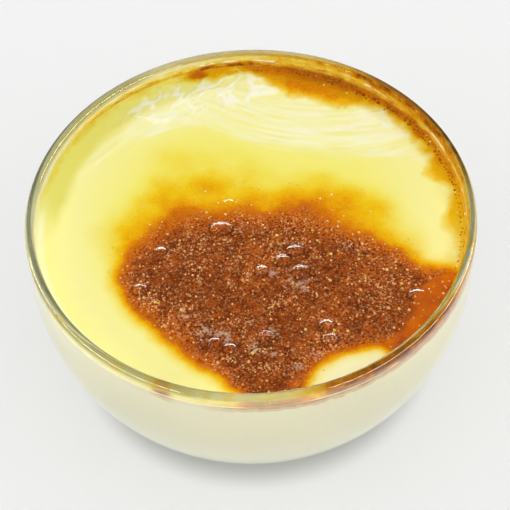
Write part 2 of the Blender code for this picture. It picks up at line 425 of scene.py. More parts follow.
def browning(x, y):
    """How far the skin is baked at (x, y), 0 pale to 1 browned."""
    ragged = layered_noise(x, y, 5.0 * MM, 3)
    # The edge is soft along the back of the area and crisp at the front.
    soft = soft_step(y - SOFT_EDGE_Y, 3.5 * MM)
    depth = depth_inside(x, y, closed_curve(BROWNED_EDGE, 5)) + ragged * (1.2 + 1.6 * soft) * MM
    level = rising(soft_step(depth, (1.4 + 3.0 * soft) * MM), 0.04, 0.96)
    level *= 1.0 + 0.14 * layered_noise(x, y, 9.0 * MM, 13, 3)
    inside = depth_inside(x, y, closed_curve(SMOOTH_EDGE, 5)) + 0.5 * MM * ragged
    amber = soft_step(inside, 0.25 * MM)
    drift = 0.76 + 0.30 * layered_noise(x, y, 3.4 * MM, 17, 3)
    level = np.where(amber > 0.001, level + amber * (np.minimum(level, drift) - level), level)
    patchy = 1.0 + 0.6 * layered_noise(x, y, 4.5 * MM, 11)
    for *ellipse, strength in BAKED_SPOTS:
        spot = strength * patchy * np.exp(-off_centre(x, y, *ellipse) ** 2.6)
        level = level + spot * (1.0 - level)
    return clipped(np.maximum(level, at_wall(x, y)[0]))


def hollow_at(x, y):
    """Where the skin dips beside the wall at the back left, 0 to 1."""
    turn, radius = polar(x, y)
    return in_region(turn, radius + 0.8 * MM * layered_noise(x, y, 7.0 * MM, 93, 2), HOLLOW)


def at_wall(x, y):
    """How far the skin is baked beside the wall, and how much painted shade darkens it there."""
    angles, starts, widths, levels, shades = np.array(WALL_BAKING).T
    turn = (np.degrees(np.arctan2(y, x)) - angles[0]) % 360.0 + angles[0]
    radius = np.hypot(x, y) + 1.5 * MM * layered_noise(x, y, 3.4 * MM, 19, 3)
    into = rising(radius / MM, np.interp(turn, angles, starts), np.interp(turn, angles, widths))
    extra = rising(radius, EXTRA_START, EXTRA_WIDTH) * fade(turn, *EXTRA_SPAN)
    level = np.interp(turn, angles, levels) * into ** 0.8 + EXTRA_BAKING * extra
    reach = rising(radius, SHADE_START, SHADE_WIDTH)
    shade = np.interp(turn, angles, shades) * reach * reach * (3.0 - 2.0 * reach)
    return level, np.maximum(shade, HOLLOW_SHADE * hollow_at(x, y))


def grain_at(x, y, baked):
    """How grainy and dotted the skin is, 0 to 1: most where it is well browned."""
    calm = soft_step(depth_inside(x, y, closed_curve(SMOOTH_EDGE, 5)), 0.4 * MM)
    beside_wall = rising(np.hypot(x, y), CALM_START, CALM_WIDTH) * (y > CALM_Y)
    grainy = rising(baked, GRAIN_START, GRAIN_RISE)
    return grainy * (1.0 - 0.85 * np.maximum(calm, beside_wall))


# Places where the browned skin is roughened by burst bubbles and has a painted sheen: X, Y,
# half length, half width in mm, turn in degrees, strength.
FROST_SHEEN = (
    (5, -16.6, 4.6, 1.7, 12, 1), (12, -20, 4.6, 3, -25, 1), (-12.5, -35, 3.2, 3.8, 0, 1),
    (-8, -36.4, 2.8, 2.6, 0, 1), (-18, -29.4, 3, 2, 30, 0.8), (4, -35.6, 3, 2.6, 0, 1),
    (0.4, -40.2, 2.4, 2.2, 0, 1), (3.6, -42.6, 2.2, 1.4, 0, 1), (-2, -0.6, 3.4, 1.8, 0, 0.6),
    (-11, 0.6, 2.8, 1.6, 0, 0.6), (15, -43, 2.8, 2.2, 0, 0.9), (10.5, -46.5, 3.4, 1.6, 0, 0.8),
    (20.4, -38.8, 2.8, 2, 0, 0.7), (26, -8, 3, 2.2, 0, 0.5),
)


def frost_sheen_at(x, y):
    """How strong the painted sheen on the roughened browned skin is at (x, y), 0 to 1."""
    frost = np.zeros_like(x)
    for *ellipse, strength in FROST_SHEEN:
        frost = np.maximum(frost, strength * np.exp(-off_centre(x, y, *ellipse) ** 3))
    return frost * clipped(0.75 + 0.8 * layered_noise(x, y, 1.6 * MM, 23, 3))


def wandered(x, y):
    """The place whose wrinkles show at (x, y), shifted sideways so that they wander."""
    near, far = WANDER_LENGTHS
    shift_x = np.sin(y / near + 0.7) + 0.6 * np.sin((x + y) / far)
    shift_y = np.sin(x / near + 2.1) + 0.6 * np.sin((x - y) / far + 1.0)
    return x + WANDER * shift_x, y + WANDER * shift_y


def folds_at(x, y):
    """Narrow folds of the crumpled skin, 1 on their crests, drawn out along the wall."""
    along = np.arctan2(y, x) * 50.0 * MM
    inward = np.hypot(x, y) + 0.3 * along
    warp = 1.2 * MM * layered_noise(x, y, 5.0 * MM, 91, 2)
    return clipped(1.0 - 3.4 * np.abs(layered_noise(along * 0.55, inward + warp, 2.6 * MM, 41, 2)))


def fine_wrinkles(x, y):
    """Finer folds of the skin at the back: crumpled near the wall, drawn out nearer the middle."""
    turn, radius = polar(x, y)
    height = CRUMPLED_HEIGHT * in_region(turn, radius, CRUMPLED) * folds_at(x, y)
    edge = CRUMPLED_EDGE_HEIGHT * in_region(turn, radius, CRUMPLED_EDGE)
    height += edge * layered_noise(x, y, 2.2 * MM, 43, 2)
    bent_y = y + bow(x)
    drawn = DRAWN_HEIGHT * in_patch(x, bent_y, DRAWN)
    height += drawn * layered_noise(x * 0.16, -bent_y, 1.9 * MM, 47, 3)
    swept = SWEPT_HEIGHT * in_region(turn, radius, SWEPT)
    height += swept * layered_noise(turn * 0.25 * MM, radius, 2.0 * MM, 53, 3)
    glint = GLINTING_HEIGHT * in_patch(x, y, GLINTING)
    return height + glint * layered_noise((x + y) * 0.3, x - y, 1.8 * MM, 59, 2)


def blisters_at(x, y):
    """Height of the blisters, and how near each place is to a blister's foot, where shade is
    painted, 0 to 1.
    """
    height, foot = np.zeros_like(x), np.zeros_like(x)
    for *ellipse, top in BLISTERS:
        across = off_centre(x, y, *ellipse)
        height = np.maximum(height, top * MM * np.sqrt(np.clip(1.0 - across ** 2, 0.0, None)))
        foot = np.maximum(foot, np.exp(-((across - 1.02) / 0.10) ** 2))
    return height, foot


# The painted sheen's front edge, as X and Y in mm; the skin behind it is painted whiter, in place
# of a reflected light.
GLEAM_EDGE = (
    (-58, -6), (-50, 9), (-40, 23), (-30, 31), (-20, 35.5), (-12, 35.5), (0, 30), (12, 26),
    (23, 24), (33, 23), (45, 21), (58, 10),
)

# Places where the browned skin is rough and catches the light: X, Y, radius in mm.
ROUGH_PATCHES = (
    (12, -20, 6), (-8, -36, 7.5), (3.5, -36.5, 5.5), (5, -44, 5), (-17, -30, 5), (-5, -3, 5.5),
    (20, -36, 5), (10, -11, 5), (28, -20, 5),
)
# Height of the browned skin's roughness in those places and elsewhere.
MOST_ROUGHNESS = 0.13 * MM
LEAST_ROUGHNESS = 0.035 * MM


def rough_patches(x, y):
    """Height of the browned skin's roughness for arrays x and y."""
    height = np.full_like(x, LEAST_ROUGHNESS)
    for patch_x, patch_y, radius in ROUGH_PATCHES:
        off = off_centre(x, y, patch_x, patch_y, radius, radius)
        height = np.maximum(height, MOST_ROUGHNESS * np.exp(-off ** 4))
    return height


# From and to azimuth with its fading in degrees: the painted sheen at the back, the weaker
# painted sheen at the back left, the skin painted paler at the front right, and that beside the
# wall at the front left.
BACK_GLEAM = (10.0, 128.0, 14.0)
LEFT_GLEAM = (112.0, 172.0, 10.0)
RIGHT_PALE = (292.0, 330.0, 8.0)
WALL_PALE = (180.0, 262.0, 8.0)


def sheen_at(x, y):
    """How much the pale skin is painted whiter, as painted sheen and highlights, 0 to 1."""
    edge_x, edge_y = np.array(GLEAM_EDGE).T * MM
    turn, radius = polar(x, y)
    behind = y - np.interp(x, edge_x, edge_y) + 0.9 * MM * layered_noise(x, y, 7.0 * MM, 81, 3)
    # Streaks run across the back and turn to run along the wall at the back left.
    streaks = layered_noise(x * 0.12, y - bow(x), 1.0 * MM, 83, 3)
    along = layered_noise(np.radians(turn) * 6.0 * MM, radius + 0.2 * x, 1.1 * MM, 85, 3)
    streaks = streaks + (along - streaks) * rising(turn, 108.0, 14.0)
    painted_sheen = soft_step(behind, 0.7 * MM) * clipped(0.52 + 0.5 * streaks)
    painted_sheen *= np.maximum(fade(turn, *BACK_GLEAM), 0.6 * fade(turn, *LEFT_GLEAM))
    hollow = hollow_at(x, y)
    # Painted light as well: paler towards the edge and at the front right, whiter beside the wall
    # at the front left, on the crumpled folds and on the glinting patch.
    pale = 0.28 + 0.4 * fade(turn, *RIGHT_PALE) - 0.28 * hollow
    pale *= rising(radius, 34.0 * MM, 14.0 * MM)
    beside_wall = 0.75 * fade(turn, *WALL_PALE) * rising(radius, 54.3 * MM, 2.0 * MM)
    crumple = in_region(turn, radius, CRUMPLED_GLEAM) * clipped(0.25 + 1.3 * folds_at(x, y))
    glint = in_patch(x, y, GLINT_GLEAM) * clipped(0.5 + layered_noise(x, y, 2.0 * MM, 89, 3))
    return np.maximum.reduce([painted_sheen * (1.0 - hollow), pale, beside_wall, crumple, glint])


def skin_height(x, y, pudding, wall):
    """Height of the pudding's skin for arrays x and y, the wall's inside radius being wall."""
    turn, radius = polar(x, y)
    meniscus = pudding.meniscus_rise * np.exp((radius - wall) / pudding.meniscus_length)
    meniscus *= 0.25 + 0.75 * clipped(0.6 + 1.6 * y / wall)
    trough = TROUGH_DEPTH * in_region(turn, radius, TROUGH)
    *ellipse, top = BROWNED_SWELL
    swell = top * MM * np.exp(-off_centre(x, y, *ellipse) ** 4)
    relief = blisters_at(x, y)[0]
    moved_x, moved_y = wandered(x, y)
    for centre_x, centre_y, arc_radius, start, end, half_width, top in WRINKLES:
        along, away = polar(moved_x - centre_x * MM, moved_y - centre_y * MM)
        across = (away - arc_radius * MM) / (half_width * MM)
        relief += top * MM * np.exp(-across ** 2) * fade(along, start, end, 7.0)
    calm = clipped((wall - radius) / pudding.meniscus_length)
    return pudding.skin_level + meniscus - trough + swell + calm * relief


# ---------------------------------------------------------------- nodes

def feed(tree, socket, value):
    """Set an input socket, or link it where value is an output socket."""
    if isinstance(value, bpy.types.NodeSocket):
        tree.links.new(value, socket)
    elif socket.type == "RGBA" and len(value) == 3:
        socket.default_value = (*value, 1.0)
    else:
        socket.default_value = value


def add_node(tree, kind, inputs=None, **settings):
    """A node with its settings, and with inputs by name or number as values or sockets."""
    node = tree.nodes.new(kind)
    for key, value in settings.items():
        setattr(node, key, value)
    for key, value in (inputs or {}).items():
        feed(tree, node.inputs[key], value)
    return node


def math_node(tree, operation, *values, clamp=False):
    """A Math node; each input is a number or a socket."""
    node = add_node(
        tree, "ShaderNodeMath", dict(enumerate(values)), operation=operation, use_clamp=clamp
    )
    return node.outputs[0]


def times(tree, first, second, clamp=False):
    """The product of two numbers or sockets."""
    return math_node(tree, "MULTIPLY", first, second, clamp=clamp)


def line(tree, value, gain, start, clamp=True):
    """value * gain + start, limited to 0 to 1 unless clamp is off."""
    return math_node(tree, "MULTIPLY_ADD", value, gain, start, clamp=clamp)


def mix_colours(tree, factor, first, second):
    """A colour Mix node; the factor and the colours are values or sockets."""
    inputs = {0: factor, 6: first, 7: second}
    return add_node(tree, "ShaderNodeMix", inputs, data_type="RGBA").outputs[2]


def mix_shaders(tree, factor, first, second):
    """A Mix Shader node between two shader nodes."""
    inputs = {0: factor, 1: first.outputs[0], 2: second.outputs[0]}
    return add_node(tree, "ShaderNodeMixShader", inputs).outputs[0]


def ramp(tree, factor, stops):
    """A colour ramp with (position, colour) stops, linked to factor."""
    node = add_node(tree, "ShaderNodeValToRGB", {"Fac": factor})
    elements = node.color_ramp.elements
    stops = list(stops)
    while len(elements) < len(stops):
        elements.new(0.5)
    for element, (position, rgb) in zip(elements, stops):
        element.position = position
        element.color = (*rgb, 1.0)
    return node.outputs["Color"]


def attribute(tree, name):
    """The value of one of the mesh's attributes."""
    return add_node(tree, "ShaderNodeAttribute", attribute_name=name).outputs["Fac"]


def object_place(tree):
    """The place in the object's own coordinates."""
    return add_node(tree, "ShaderNodeTexCoord").outputs["Object"]


def height_of(tree, place):
    """The Z of a place."""
    return add_node(tree, "ShaderNodeSeparateXYZ", {0: place}).outputs["Z"]


def noise(tree, place, scale, detail, roughness):
    """Noise from -0.5 to 0.5, its scale in bumps per metre."""
    node = add_node(tree, "ShaderNodeTexNoise", {
        "Vector": place, "Scale": scale, "Detail": detail, "Roughness": roughness,
    })
    return math_node(tree, "SUBTRACT", node.outputs["Fac"], 0.5)


def dots(tree, place, scale, chosen, radius):
    """Mask of round dots in some of the cells of a lattice, and a random value for each."""
    cells = add_node(tree, "ShaderNodeTexVoronoi", {"Vector": place, "Scale": scale})
    spread = add_node(tree, "ShaderNodeSeparateColor", {0: cells.outputs["Color"]})
    size = math_node(tree, "SUBTRACT", spread.outputs[0], 1.0 - chosen)
    size = times(tree, size, radius / chosen)
    mask = math_node(tree, "SUBTRACT", size, cells.outputs["Distance"])
    return times(tree, mask, DOT_SHARPNESS, clamp=True), spread.outputs[1]


# ---------------------------------------------------------------- materials

# How steeply a dot's edge rises, in cells of its lattice.
DOT_SHARPNESS = 9.0

# The lip's olive tint starts this far below the rim, and is full this much higher.
LIP_TINT_DROP = 3.4 * MM
LIP_TINT_RISE = 3.0 * MM

# Seen through the glass, the skin's baked edge starts this far below the skin's level, is full
# this much higher, and wavers by this much.
SIDE_EDGE_DROP = 2.0 * MM
SIDE_EDGE_RISE = 3.2 * MM
SIDE_EDGE_WAVER = 2.4 * MM

# The cream is painted paler downwards from this height, as painted light from the floor, and is
# palest this much lower.
CREAM_PALES_FROM = 34.0 * MM
CREAM_PALES_OVER = 30.0 * MM

# The floor's own glow fades towards the bowl between these distances, to this share of it, as a
# painted shadow.
GLOW_FADES_OVER = (42.6 * MM, 52.6 * MM)
GLOW_LEFT = 0.26


def new_material(name):
    """An empty node material, its tree and its output node."""
    material = bpy.data.materials.new(name)
    material.use_nodes = True
    tree = material.node_tree
    tree.nodes.clear()
    return material, tree, add_node(tree, "ShaderNodeOutputMaterial")


def principled(tree, inputs):
    """A Principled shader node with inputs by name."""
    return add_node(tree, "ShaderNodeBsdfPrincipled", inputs)


def glass_material(bowl):
    """Clear glass with a faint olive lip, which lets lamps through to the pudding."""
    material, tree, output = new_material("clear_bowl_glass")
    place = object_place(tree)
    height = line(tree, height_of(tree, place), 1.0 / LIP_TINT_RISE,
                  -(BOWL_HEIGHT - LIP_TINT_DROP) / LIP_TINT_RISE)
    tint = ramp(tree, height, ((0.0, (0.97, 0.98, 0.95)), (1.0, bowl.lip)))
    # The lip's brown: partly a baked-on stain, partly painted refraction of the film behind the
    # glass.
    streaks = math_node(tree, "ADD", noise(tree, place, 300.0, 3.0, 0.5), 1.0)
    stain = times(tree, attribute(tree, "stain"), streaks, clamp=True)
    deep = ramp(tree, stain, (
        (0.0, (1.0, 0.99, 0.93)), (0.3, (0.94, 0.78, 0.26)), (0.55, (0.80, 0.46, 0.05)),
        (1.0, bowl.stain),
    ))
    tint = mix_colours(tree, times(tree, stain, 8.0, clamp=True), tint, deep)
    # Painted shade: parts of the lip are painted a darker olive.
    tint = mix_colours(tree, attribute(tree, "dim"), tint, (0.30, 0.31, 0.17))
    glass = principled(tree, {
        "Base Color": tint, "Roughness": 0.0, "IOR": 1.5, "Transmission Weight": 0.84,
    })
    clear = add_node(tree, "ShaderNodeBsdfTransparent", {"Color": bowl.glass})
    in_shadow = add_node(tree, "ShaderNodeLightPath").outputs["Is Shadow Ray"]
    feed(tree, output.inputs["Surface"], mix_shaders(tree, in_shadow, glass, clear))
    volume = add_node(tree, "ShaderNodeVolumeAbsorption", {
        "Color": (0.70, 0.76, 0.62), "Density": 9.0,
    })
    feed(tree, output.inputs["Volume"], volume.outputs[0])
    return material


def skin_colour(tree, place, grain, level, pudding, brown):
    """Colour of the skin from how far it is baked, with its grain, pores and fine bubbles."""
    rough = attribute(tree, "grain")
    skin = ramp(tree, level, (
        (0.0, pudding.skin),
        (0.08, (0.91, 0.77, 0.105)),
        (0.17, (0.90, 0.66, 0.040)),
        (0.25, brown.gold),
        (0.35, (0.85, 0.435, 0.0035)),
        (0.43, (0.80, 0.335, 0.002)),
        (0.52, brown.amber),
        (0.61, (0.62, 0.146, 0.002)),
        (0.70, (0.55, 0.122, 0.005)),
        (0.80, brown.brown),
        (0.90, (0.26, 0.050, 0.007)),
        (1.0, (0.12, 0.020, 0.004)),
    ))
    # Dark grain, and light grain that is gathered in clusters of two sizes
    wide = line(tree, noise(tree, place, 110.0, 2.0, 0.5), 5.0, 0.45)
    cluster = times(tree, line(tree, noise(tree, place, 330.0, 2.0, 0.5), 5.0, 0.50), wide)
    light_part = line(tree, cluster, 0.64, 0.42, clamp=False)
    for gain, start, tint, part in (
        (-11.0, 0.50, (0.070, 0.011, 0.003), 0.88), (11.0, 0.52, (0.84, 0.38, 0.14), light_part),
    ):
        mask = times(tree, line(tree, grain, gain, -start), times(tree, rough, part))
        skin = mix_colours(tree, mask, skin, tint)
    # Dark pores and blotches, then fine pale bubbles of two sizes in the same clusters; the palest
    # of them are partly painted glints.
    pores, _ = dots(tree, place, 1500.0, 0.40, 0.55)
    blotch = line(tree, noise(tree, place, 200.0, 3.0, 0.6), 5.0, -0.30)
    for mask, part, tint in (
        (pores, 0.65, (0.12, 0.020, 0.005)), (blotch, 0.60, (0.13, 0.024, 0.005)),
    ):
        skin = mix_colours(tree, times(tree, mask, times(tree, rough, part)), skin, tint)
    for scale, chosen, radius, part in ((2100.0, 0.36, 0.66, 0.62), (950.0, 0.30, 0.54, 1.0)):
        mask, shade = dots(tree, place, scale, chosen, radius)
        tan = mix_colours(tree, shade, (0.66, 0.25, 0.06), (1.0, 0.74, 0.36))
        lit = times(tree, times(tree, rough, part), cluster)
        skin = mix_colours(tree, times(tree, mask, lit), skin, tan)
    # Painted sheen where burst bubbles roughen the browned skin
    frost = attribute(tree, "frost")
    frost_sheen_mask = math_node(tree, "SUBTRACT", line(tree, grain, 3.6, frost, clamp=False), 0.45)
    frost_sheen_mask = times(tree, times(tree, frost_sheen_mask, 3.0, clamp=True), frost)
    skin = mix_colours(tree, times(tree, frost_sheen_mask, 0.85), skin, (0.56, 0.36, 0.25))
    # Painted sheen on the unbaked skin, painted shade at the feet of the blisters, and painted
    # shade beside the wall and in the hollow
    skin = mix_colours(tree, attribute(tree, "tone"), skin, pudding.painted_sheen)
    feet_shade = times(tree, attribute(tree, "foot"), rough)
    skin = mix_colours(tree, feet_shade, skin, (0.10, 0.018, 0.004))
    return mix_colours(tree, attribute(tree, "shade"), skin, (0.10, 0.15, 0.0))


def flesh_colour(tree, place, mottle, pudding):
    """Colour of the side, seen through the glass: cream, with the skin's baked edge on top."""
    z = height_of(tree, place)
    waver = line(tree, noise(tree, place, 260.0, 2.0, 0.5), SIDE_EDGE_WAVER, z, clamp=False)
    up = math_node(tree, "SUBTRACT", waver, pudding.skin_level - SIDE_EDGE_DROP)
    up = math_node(tree, "DIVIDE", up, SIDE_EDGE_RISE, clamp=True)
    up = line(tree, mottle, 0.35, up)
    edge = ramp(tree, up, (
        (0.0, pudding.cream),
        (0.12, (0.72, 0.66, 0.40)),
        (0.25, (0.60, 0.43, 0.15)),
        (0.45, (0.64, 0.46, 0.17)),
        (0.58, (0.46, 0.17, 0.025)),
        (0.80, (0.38, 0.11, 0.012)),
        (1.0, (0.55, 0.24, 0.03)),
    ))
    # Painted light from the floor below: the cream is paler towards the bottom.
    painted_floor_light = line(tree, z, -1.0 / CREAM_PALES_OVER, CREAM_PALES_FROM / CREAM_PALES_OVER)
    body = mix_colours(tree, painted_floor_light, pudding.cream, (0.93, 0.93, 0.71))
    near_skin = times(tree, up, 8.0, clamp=True)
    return mix_colours(tree, times(tree, attribute(tree, "edge"), near_skin), body, edge)


def pudding_material(pudding, brown):
    """Set cream under a baked skin: colour from how far it is baked, with grain and gloss."""
    material, tree, output = new_material("baked_pudding")
    place = object_place(tree)
    baked, rough = attribute(tree, "baked"), attribute(tree, "grain")
    grain = noise(tree, place, 1600.0, 1.5, 0.6)
    mottle = noise(tree, place, 420.0, 3.0, 0.65)
    # Grain moves the baked level up and down, most where the skin is well baked.
    swing = line(tree, grain, 2.0, mottle, clamp=False)
    share = line(tree, rough, 0.30, 0.12, clamp=False)
    share = times(tree, share, times(tree, baked, 2.0, clamp=True))
    level = line(tree, swing, share, times(tree, baked, 0.90))
    skin = skin_colour(tree, place, grain, level, pudding, brown)
    flesh = flesh_colour(tree, place, mottle, pudding)
    # Fine relief of the same grain, nearly all of it in the browned skin
    relief = math_node(tree, "POWER", baked, 2.0)
    relief = line(tree, relief, 0.12, times(tree, rough, 0.88), clamp=False)
    bump = add_node(tree, "ShaderNodeBump", {
        "Strength": 0.50, "Distance": 0.12 * MM, "Height": times(tree, swing, relief),
    })
    shader = principled(tree, {
        "Base Color": mix_colours(tree, attribute(tree, "side"), skin, flesh),
        "Normal": bump.outputs[0], "Roughness": 0.12, "IOR": 1.40, "Subsurface Weight": 0.22,
        "Subsurface Scale": 0.9 * MM, "Subsurface Radius": (1.0, 0.7, 0.35),
    })
    feed(tree, output.inputs["Surface"], shader.outputs[0])
    return material


def film_material(brown):
    """Amber film, tinted and clear where thin, glossy brown where thick, with a painted highlight
    streak.
    """
    material, tree, output = new_material("browned_film")
    swing = line(tree, noise(tree, object_place(tree), 900.0, 3.0, 0.6), 1.1, 1.0, clamp=False)
    level = times(tree, attribute(tree, "dense"), swing, clamp=True)
    # Its own colour and its tint of the light that passes it, by how thick it is
    body, tint = (ramp(tree, level, zip((0.0, 0.15, 0.35, 0.60, 0.80, 1.0), row)) for row in (
        ((0.93, 0.86, 0.55), (0.92, 0.78, 0.30), (0.86, 0.60, 0.08), brown.film,
         (0.42, 0.17, 0.008), (0.20, 0.060, 0.004)),
        ((1.0, 1.0, 0.97), (0.99, 0.94, 0.60), (0.97, 0.83, 0.24), (0.90, 0.62, 0.08),
         (0.72, 0.38, 0.03), (0.42, 0.16, 0.01)),
    ))
    # Painted highlight: the film is painted near white along its streak
    pale = attribute(tree, "pale")
    film = principled(tree, {
        "Base Color": mix_colours(tree, pale, body, (1.0, 0.96, 0.78)), "Roughness": 0.15,
        "IOR": 1.40,
    })
    clear = add_node(tree, "ShaderNodeBsdfTransparent", {"Color": tint})
    cover = math_node(tree, "MAXIMUM", times(tree, level, 0.40), pale)
    feed(tree, output.inputs["Surface"], mix_shaders(tree, cover, clear, film))
    return material


def speck_material(name, rgb, roughness):
    """A glossy toasted speck or bubble, each with its own tone."""
    material, tree, output = new_material(name)
    dark = tuple(c * k for c, k in zip(rgb, (0.62, 0.42, 0.30)))
    shader = principled(tree, {
        "Base Color": mix_colours(tree, attribute(tree, "tone"), dark, rgb),
        "Roughness": roughness, "IOR": 1.45,
    })
    feed(tree, output.inputs["Surface"], shader.outputs[0])
    return material


def floor_material(rgb, glow):
    """Plain matte floor with a glow of its own, which fades out under the bowl as a painted shadow.
    """
    material, tree, output = new_material("pale_floor")
    away = add_node(tree, "ShaderNodeVectorMath", {0: object_place(tree)}, operation="LENGTH")
    near, far = GLOW_FADES_OVER
    fading = add_node(tree, "ShaderNodeMapRange", {
        "Value": away.outputs["Value"], "From Min": near, "From Max": far,
        "To Min": GLOW_LEFT * glow, "To Max": glow,
    }, interpolation_type="SMOOTHSTEP")
    shader = principled(tree, {
        "Base Color": rgb, "Roughness": 0.7, "Specular IOR Level": 0.2,
        "Emission Color": (1.0, 1.0, 1.0), "Emission Strength": fading.outputs["Result"],
    })
    feed(tree, output.inputs["Surface"], shader.outputs[0])
    return material


# ---------------------------------------------------------------- objects and meshes

def link_object(name, data):
    """A new object in the scene, at the origin."""
    obj = bpy.data.objects.new(name, data)
    bpy.context.scene.collection.objects.link(obj)
    return obj


def smooth_mesh(name, places, faces):
    """A smoothly shaded mesh of points and faces."""
    mesh = bpy.data.meshes.new(name)
    mesh.from_pydata(places.tolist(), [], faces)
    mesh.polygons.foreach_set("use_smooth", [True] * len(mesh.polygons))
    return mesh


def edit_mesh(mesh, change):
    """Change a mesh with a function that is given its bmesh."""
    bm = bmesh.new()
    bm.from_mesh(mesh)
    change(bm)
    bm.to_mesh(mesh)
    bm.free()


def store(mesh, attributes):
    """Store a value for each point of a mesh, by attribute name."""
    for name, values in attributes.items():
        mesh.attributes.new(name, "FLOAT", "POINT").data.foreach_set("value", values)


def mesh_from_nodes(obj, tree, values):
    """Run a geometry tree on obj with input values by name, and keep the result as its mesh."""
    modifier = obj.modifiers.new("Shape", "NODES")
    modifier.node_group = tree
    for item in tree.interface.items_tree:
        if item.item_type == "SOCKET" and item.in_out == "INPUT" and item.name in values:
            modifier[item.identifier] = values[item.name]
    obj.update_tag()
    graph = bpy.context.evaluated_depsgraph_get()
    mesh = bpy.data.meshes.new_from_object(obj.evaluated_get(graph))
    obj.modifiers.remove(modifier)
    obj.data = mesh
    mesh.name = obj.name


# ---------------------------------------------------------------- geometry trees

def geometry_tree(name, inputs):
    """A geometry tree with inputs of (name, type, default): the tree, its start and its end."""
    tree = bpy.data.node_groups.new(name, "GeometryNodeTree")
    tree.interface.new_socket("Geometry", in_out="INPUT", socket_type="NodeSocketGeometry")
    for label, kind, default in inputs:
        socket = tree.interface.new_socket(label, in_out="INPUT", socket_type=kind)
        if default is not None:
            socket.default_value = default
    tree.interface.new_socket("Geometry", in_out="OUTPUT", socket_type="NodeSocketGeometry")
    start = tree.nodes.new("NodeGroupInput").outputs
    return tree, start, tree.nodes.new("NodeGroupOutput")


def finish_tree(tree, start, end, geometry):
    """End a tree: real, smoothly shaded geometry in the tree's material."""
    real = add_node(tree, "GeometryNodeRealizeInstances", {"Geometry": geometry})
    smooth = add_node(tree, "GeometryNodeSetShadeSmooth", {"Geometry": real.outputs[0]})
    paint = add_node(tree, "GeometryNodeSetMaterial", {
        "Geometry": smooth.outputs[0], "Material": start["Material"],
    })
    feed(tree, end.inputs["Geometry"], paint.outputs[0])
    return tree


def turning_tree():
    """Sweeps a profile, drawn as edges in the XZ plane, once round the Z axis."""
    tree, start, end = geometry_tree("Turned profile", (
        ("Steps", "NodeSocketInt", 128),
        ("Path radius", "NodeSocketFloat", 0.01),
        ("Weld distance", "NodeSocketFloat", 1e-6),
        ("Material", "NodeSocketMaterial", None),
    ))
    outline = add_node(tree, "GeometryNodeMeshToCurve", {"Mesh": start["Geometry"]})
    ring = add_node(tree, "GeometryNodeCurvePrimitiveCircle", {
        "Resolution": start["Steps"], "Radius": start["Path radius"],
    })
    sweep = add_node(tree, "GeometryNodeCurveToMesh", {
        "Curve": ring.outputs["Curve"], "Profile Curve": outline.outputs["Curve"],
    })
    weld = add_node(tree, "GeometryNodeMergeByDistance", {
        "Geometry": sweep.outputs["Mesh"], "Distance": start["Weld distance"],
    })
    return finish_tree(tree, start, end, weld.outputs["Geometry"])


def grains_on(tree, start, points, radius, rotation=None):
    """Flattened round grains on points, each with a tone of its own."""
    tone = add_node(tree, "FunctionNodeRandomValue", {"Seed": start["Seed"]})
    toned = add_node(tree, "GeometryNodeStoreNamedAttribute", {
        "Geometry": points, "Name": "tone", "Value": tone.outputs[1],
    }, data_type="FLOAT")
    grain = add_node(tree, "GeometryNodeMeshIcoSphere", {
        "Radius": 1.0, "Subdivisions": start["Detail"],
    })
    placed = add_node(tree, "GeometryNodeInstanceOnPoints", {
        "Points": toned.outputs["Geometry"], "Instance": grain.outputs["Mesh"], "Scale": radius,
    })
    if rotation is not None:
        feed(tree, placed.inputs["Rotation"], rotation)
    shape = add_node(tree, "ShaderNodeCombineXYZ", {0: 1.0, 1: 1.0, 2: start["Flatness"]})
    flat = add_node(tree, "GeometryNodeScaleInstances", {
        "Instances": placed.outputs["Instances"], "Scale": shape.outputs[0],
    })
    return flat.outputs["Instances"]


def scatter_tree():
    """Half-sunk round grains over the faces baked between two levels, each with a tone."""
    tree, start, end = geometry_tree("Scattered grains", (
        ("Count per m2", "NodeSocketFloat", 1000.0),
        ("Least radius", "NodeSocketFloat", 0.0001),
        ("Most radius", "NodeSocketFloat", 0.0003),
        ("Lowest baking", "NodeSocketFloat", 0.5),
        ("Highest baking", "NodeSocketFloat", 1.0),
        ("Flatness", "NodeSocketFloat", 0.6),
        ("Detail", "NodeSocketInt", 1),
        ("Seed", "NodeSocketInt", 0),
        ("Material", "NodeSocketMaterial", None),
    ))
    baked = add_node(tree, "GeometryNodeInputNamedAttribute", {"Name": "baked"}, data_type="FLOAT")
    above, below = (
        add_node(tree, "FunctionNodeCompare", {
            "A": baked.outputs["Attribute"], "B": start[limit],
        }, operation=operation).outputs["Result"]
        for operation, limit in (
            ("GREATER_THAN", "Lowest baking"), ("LESS_EQUAL", "Highest baking"),
        )
    )
    both = add_node(tree, "FunctionNodeBooleanMath", {0: above, 1: below})
    spread = add_node(tree, "GeometryNodeDistributePointsOnFaces", {
        "Mesh": start["Geometry"], "Selection": both.outputs[0],
        "Density": start["Count per m2"], "Seed": start["Seed"],
    })
    size = add_node(tree, "FunctionNodeRandomValue", {
        2: start["Least radius"], 3: start["Most radius"], "Seed": start["Seed"],
    })
    grains = grains_on(
        tree, start, spread.outputs["Points"], size.outputs[1], spread.outputs["Rotation"]
    )
    return finish_tree(tree, start, end, grains)


